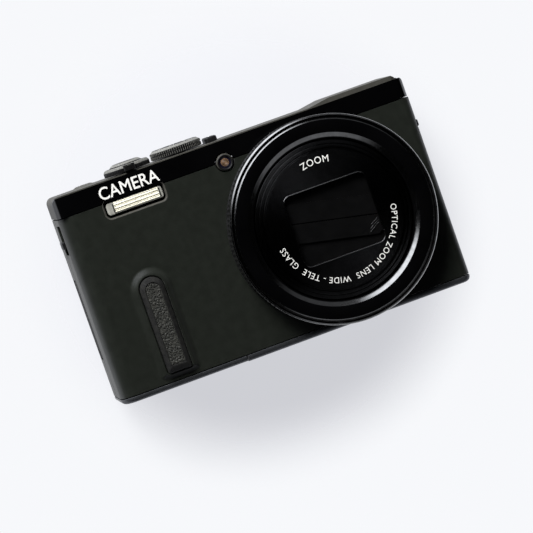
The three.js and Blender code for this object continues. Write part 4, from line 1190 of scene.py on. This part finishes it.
def make_strap_lug():
    """A bar bent round an eye. Its ends run into the case."""
    lug = Box("strap_lug")
    bar = 0.9
    outline = round_rectangle(lug.x0, lug.y0, lug.x1 + 1.5, lug.y1, [0.8, 0, 0, 0.8], 6)
    ring = prism("strap_bar", outline, "z", lug.z0, lug.z1)
    eye = round_rectangle(lug.x0 + bar, lug.y0 + bar, lug.x1 + 3, lug.y1 - bar, [0.4, 0, 0, 0.4], 6)
    cut(ring, prism("tool", eye, "z", lug.z0 - 1, lug.z1 + 1), block(lug.x1, FAR, -FAR, FAR, 0, 90))
    stand_for(rounded(ring, 0.2, 3), SATIN, "strap_lug")


def make_sockets():
    """The rubber door with its finger notch, and the two sockets behind it with their tongues."""
    door = Box("terminal_door")
    steps = [(0.0, door.x1), (0.0, door.x0 + 0.35), (0.1, door.x0 + 0.12), (0.35, door.x0)]
    lid = stacked("socket_door", lofted("x", lambda inset: inset_box(door, "x", inset, 0.8, 6), steps), 60)
    cut(lid, rod(0.9, (door.cz - 2.2, door.cz + 2.2), (door.x0, door.y1), "z", 32))
    stand_for(lid, RUBBER, "terminal_door")

    wall = 0.4
    for node in ("usb_socket", "hdmi_socket"):
        box = Box(node)
        shell = prism(node + "_shell", inset_box(box, "x", 0, 0.9, 6), "x", box.x0, box.x1)
        cut(shell, prism("tool", inset_box(box, "x", wall, 0.6, 6), "x", box.x0 - 1, box.x1 - 0.8))
        stand_for(rounded(shell, 0.1, 2, 50), STEEL, node)
        tongue = block(box.x0 + 0.9, box.x1 - 0.8, box.cy - 0.4, box.cy + 0.4, box.z0 + 1.4, box.z1 - 1.4,
                       node + "_tongue")
        add_to(rounded(tongue, 0.1, 2), CHIP, node)


# ---------------------------------------------------------------- back

def screen_finish():
    """Polished cover glass: the picture area shows faintly inside the black border."""
    shader = Shader("screen_finish", 0.06, Coat_Weight=0.4, Coat_Roughness=0.03)
    glass, tree = Box("lcd_glass"), shader.tree
    place = node_of(tree, "SeparateXYZ", None, {"Vector": shader.place})
    inside = 1.0
    for axis, test, edge in (("X", "GREATER_THAN", glass.x0 + 2.4), ("X", "LESS_THAN", glass.x1 - 2.4),
                             ("Z", "GREATER_THAN", glass.z0 + 2.2), ("Z", "LESS_THAN", glass.z1 - 2.2)):
        passed = node_of(tree, "Math", {"operation": test}, {0: place.outputs[axis], 1: edge * MM})
        inside = node_of(tree, "Math", {"operation": "MULTIPLY"},
                         {0: passed.outputs["Value"], 1: inside}).outputs["Value"]
    haze = shader.ramp(shader.texture(0.05), 0.3, (0.010, 0.011, 0.014), 0.7, (0.016, 0.017, 0.022))
    border = (0.003, 0.003, 0.0035, 1)
    mix = node_of(tree, "Mix", {"data_type": "RGBA"}, {"Factor": inside, "A": border, "B": haze})
    shader.drive("Base Color", mix.outputs["Result"])
    shader.roughness(0.04, 0.10, 0.2, 4.0)
    return shader.material


def make_screen():
    """The screen's cover glass, with a soft edge."""
    box = Box("lcd_glass")
    steps = [(0.0, box.y0), (0.0, box.y1 - 0.35), (0.08, box.y1 - 0.12), (0.3, box.y1)]
    loops = lofted("y", lambda inset: inset_box(box, "y", inset, 1.5 - inset, 10), steps)
    stand_for(stacked("screen_cover", loops, 40), screen_finish(), "lcd_glass")


def make_finder():
    """A soft rim round the eyepiece, and its curved glass."""
    rim_box, lens = Box("eyepiece_frame"), Box("eyepiece_lens")
    steps = [(0.0, rim_box.y0), (0.0, rim_box.y1 - 0.8), (0.12, rim_box.y1 - 0.35), (0.5, rim_box.y1 - 0.05),
             (1.0, rim_box.y1)]
    loops = lofted("y", lambda inset: inset_box(rim_box, "y", inset, 2.2 - inset), steps)
    rim = stacked("eye_rim", loops, 60)
    opening = round_rectangle(FINDER.x0 + 1, FINDER.z0 + 0.8, FINDER.x1 - 1, FINDER.z1 - 0.8, 1.2)
    cut(rim, prism("tool", opening, "y", 15, 18),
        block(FINDER.x0 - GAP, FINDER.x1 + GAP, 15, FINDER.y1 + 1.0, FINDER.z0 - GAP, FINDER.z1 + GAP))
    stand_for(rim, RUBBER, "eyepiece_frame")

    def outline(inset):
        return round_rectangle(lens.x0 + inset * 1.2, lens.z0 + inset, lens.x1 - inset * 1.2, lens.z1 - inset,
                               1 - inset * 0.3, 8)
    bulge = [(0.0, lens.y0), (0.0, lens.y1 - 0.45), (0.25, lens.y1 - 0.32), (1.0, lens.y1 - 0.15),
             (2.0, lens.y1 - 0.04), (2.8, lens.y1)]
    stand_for(stacked("eye_glass", lofted("y", outline, bulge), 60), GLASS, "eyepiece_lens")


def make_thumb_rest():
    """A rubber rest with rows of small pips."""
    box = Box("thumb_rest")
    rows, columns = 9, 6
    steps = [(0.0, box.y0), (0.0, box.y1 - 0.8), (0.25, box.y1 - 0.45), (0.7, box.y1 - 0.32)]
    loops = lofted("y", lambda inset: inset_box(box, "y", inset, [1.5 - inset * 0.5, 4 - inset, 4 - inset,
                                                                  1.5 - inset * 0.5]), steps)
    pip = [(0, box.y1 - 0.4), (0.5, box.y1 - 0.4), (0.42, box.y1 - 0.12), (0.2, box.y1), (0, box.y1)]
    pieces = [stacked("rest", loops, 60)]
    for row in range(rows):
        for column in range(columns):
            if (row, column) == (rows - 1, columns - 1):
                continue            # the rest's round corner has no room for this one
            centre = (box.x0 + 1.9 + column * 1.55 + (0.4 if row % 2 else 0), box.z0 + 1.7 + row * 1.5)
            pieces.append(turned("pip", pip, centre, "y", 12, 60))
    stand_for(joined("thumb_pad", pieces), RUBBER, "thumb_rest")


def make_cursor_keys():
    """The rocking ring with its four arrows, round the set key."""
    box, middle = Box("cursor_ring"), Box("set_button")
    radius = box.reach
    profile = [(5, box.y0), (radius, box.y0), (radius, box.y1 - 0.5), (radius - 0.1, box.y1 - 0.2),
               (radius - 0.45, box.y1), (radius - 0.9, box.y1), (radius - 2.0, box.y1 - 0.18),
               (6.0, box.y1 - 0.3), (5.2, box.y1 - 0.28), (5, box.y1 - 0.45)]
    stand_for(turned("cursor_pad", profile, box, "y", 360, 35, knurl(60, 0.12, (2, 3))), SATIN, "cursor_ring")
    arrow, arrows = [(0, 8.3), (-0.75, 7.1), (0.75, 7.1)], []
    for step in range(4):
        cos, sin = math.cos(TAU * step / 4), math.sin(TAU * step / 4)
        arrows.append([(x * cos - y * sin, x * sin + y * cos) for x, y in arrow])
    print_on("cursor_ring", "cursor_arrows", shape_mesh(arrows),
             facing_back(box.cx, box.cz, box.y1 - 0.24), 0.1)

    reach = middle.reach
    profile = [(0, middle.y0), (reach, middle.y0), (reach, middle.y1 - 0.3), (reach - 0.12, middle.y1 - 0.1),
               (reach - 0.4, middle.y1), (reach - 1.2, middle.y1 - 0.06), (0, middle.y1 - 0.12)]
    stand_for(turned("set_key", profile, middle, "y", 64, 40), GLOSS, "set_button")
    print_on("set_button", "set_label", text_mesh("SET", 1.3),
             facing_back(middle.cx, middle.cz - 0.65, middle.y1 - 0.11))


def make_rear_keys():
    """Four round keys, each with its own plain mark."""
    icons = {
        "playback_button": [[(-0.95, 0), (0.75, -0.9), (0.75, 0.9)]],
        "viewfinder_button": [round_rectangle(-0.9, -0.6, 0.9, 0.6, 0.25, 4)],
        "quick_menu_button": [[(-0.9, y - 0.14), (0.9, y - 0.14), (0.9, y + 0.14), (-0.9, y + 0.14)]
                              for y in (-0.6, 0, 0.6)],
        "display_button": [arc_points(0, 0, 0.7, 0, 360, 24)[:-1]],
    }
    for node, outlines in icons.items():
        key = Box(node)
        reach = key.reach
        profile = [(0, key.y0), (reach, key.y0), (reach, key.y1 - 0.45), (reach - 0.1, key.y1 - 0.2),
                   (reach - 0.4, key.y1 - 0.02), (reach - 0.6, key.y1 - 0.02), (0, key.y1 - 0.1)]
        stand_for(turned(node + "_cap", profile, key, "y", 48, 40), SATIN, node)
        print_on(node, node + "_mark", shape_mesh(outlines), facing_back(key.cx, key.cz, key.y1 - 0.09), 0.06)


# ---------------------------------------------------------------- underside and inside

def make_screws():
    """Two cross-headed screws in the base."""
    for node in ("base_screw_1", "base_screw_2"):
        box = Box(node)
        profile = [(0, box.z0 + 0.02), (0.7, box.z0 + 0.04), (1.1, box.z0 + 0.2), (1.2, box.z0 + 0.4),
                   (1.2, 1.1), (0.7, 1.1), (0.7, box.z1), (0, box.z1)]
        head = turned(node + "_head", profile, box, "z", 40)
        for x, y in ((0.85, 0.16), (0.16, 0.85)):
            cut(head, block(box.cx - x, box.cx + x, box.cy - y, box.cy + y, -1, box.z0 + 0.5))
        stand_for(head, STEEL, node)


def make_tripod_socket():
    """A steel bush with its thread cut as real rings, and a chamfered mouth."""
    box = Box("tripod_socket")
    bore, pitch, outside, collar = 3.175, 1.27, 3.775, 5.2
    profile, z = [(0, 6.5)], 6.2
    while z > box.z0 + 1.2:
        profile += [(bore, z), (bore + 0.45, z - pitch / 2)]
        z -= pitch
    profile += [(bore, box.z0 + 0.6), (bore + 0.4, box.z0), (outside, box.z0), (outside, 2.2), (collar, 2.2),
                (collar, 3.6), (outside, 3.6), (outside, box.z1), (0, box.z1)]
    stand_for(turned("tripod_bush", profile, box, "z", 96, 30), STEEL, "tripod_socket")


def make_power_store():
    """The battery with its contacts, and the memory card."""
    cell, card = Box("battery"), Box("memory_card")
    pack = prism("cell_pack", inset_box(cell, "z", 0, 1.2), "z", cell.z0, cell.z1)
    stand_for(rounded(pack, 0.4, 3), CELL, "battery")
    for number in range(4):
        x = cell.cx - 6 + number * 4
        contact = block(x - 1.2, x + 1.2, cell.cy - 1.6, cell.cy + 1.6, cell.z0 - 0.05, cell.z0 + 0.3,
                        "cell_contact_%d" % number)
        add_to(rounded(contact, 0.05, 2), STEEL, "battery")
    outline = [(card.x0, card.z1 - 1), (card.x0, card.z0 + 1), (card.x0 + 1, card.z0), (card.x1 - 1, card.z0),
               (card.x1, card.z0 + 1), (card.x1, card.z1 - 4), (card.x1 - 4, card.z1), (card.x0 + 1, card.z1)]
    stand_for(rounded(prism("card_body", outline, "y", card.y0, card.y1), 0.15, 2), CARD, "memory_card")


# ---------------------------------------------------------------- the whole camera, the end

bpy.context.scene.view_settings.view_transform = "Standard"
for make in (make_camera, make_world, make_lights, make_table,
             make_front_cover, make_grip_boss, make_grip_insert, make_rear_cover, make_band, make_top_cover,
             make_base, make_control_ring, make_bezel, make_barrels, make_front_plate, make_front_lens,
             make_flash, make_flash_lens, make_flash_trough, make_lamp, make_wordmark, make_blade_steps,
             make_zoom_lever, make_shutter, make_mode_dial, make_power_and_movie, make_diopter_wheel,
             make_strap_lug, make_sockets, make_screen, make_finder, make_thumb_rest, make_cursor_keys,
             make_rear_keys, make_screws, make_tripod_socket, make_power_store, finish_the_cad_nodes):
    make()
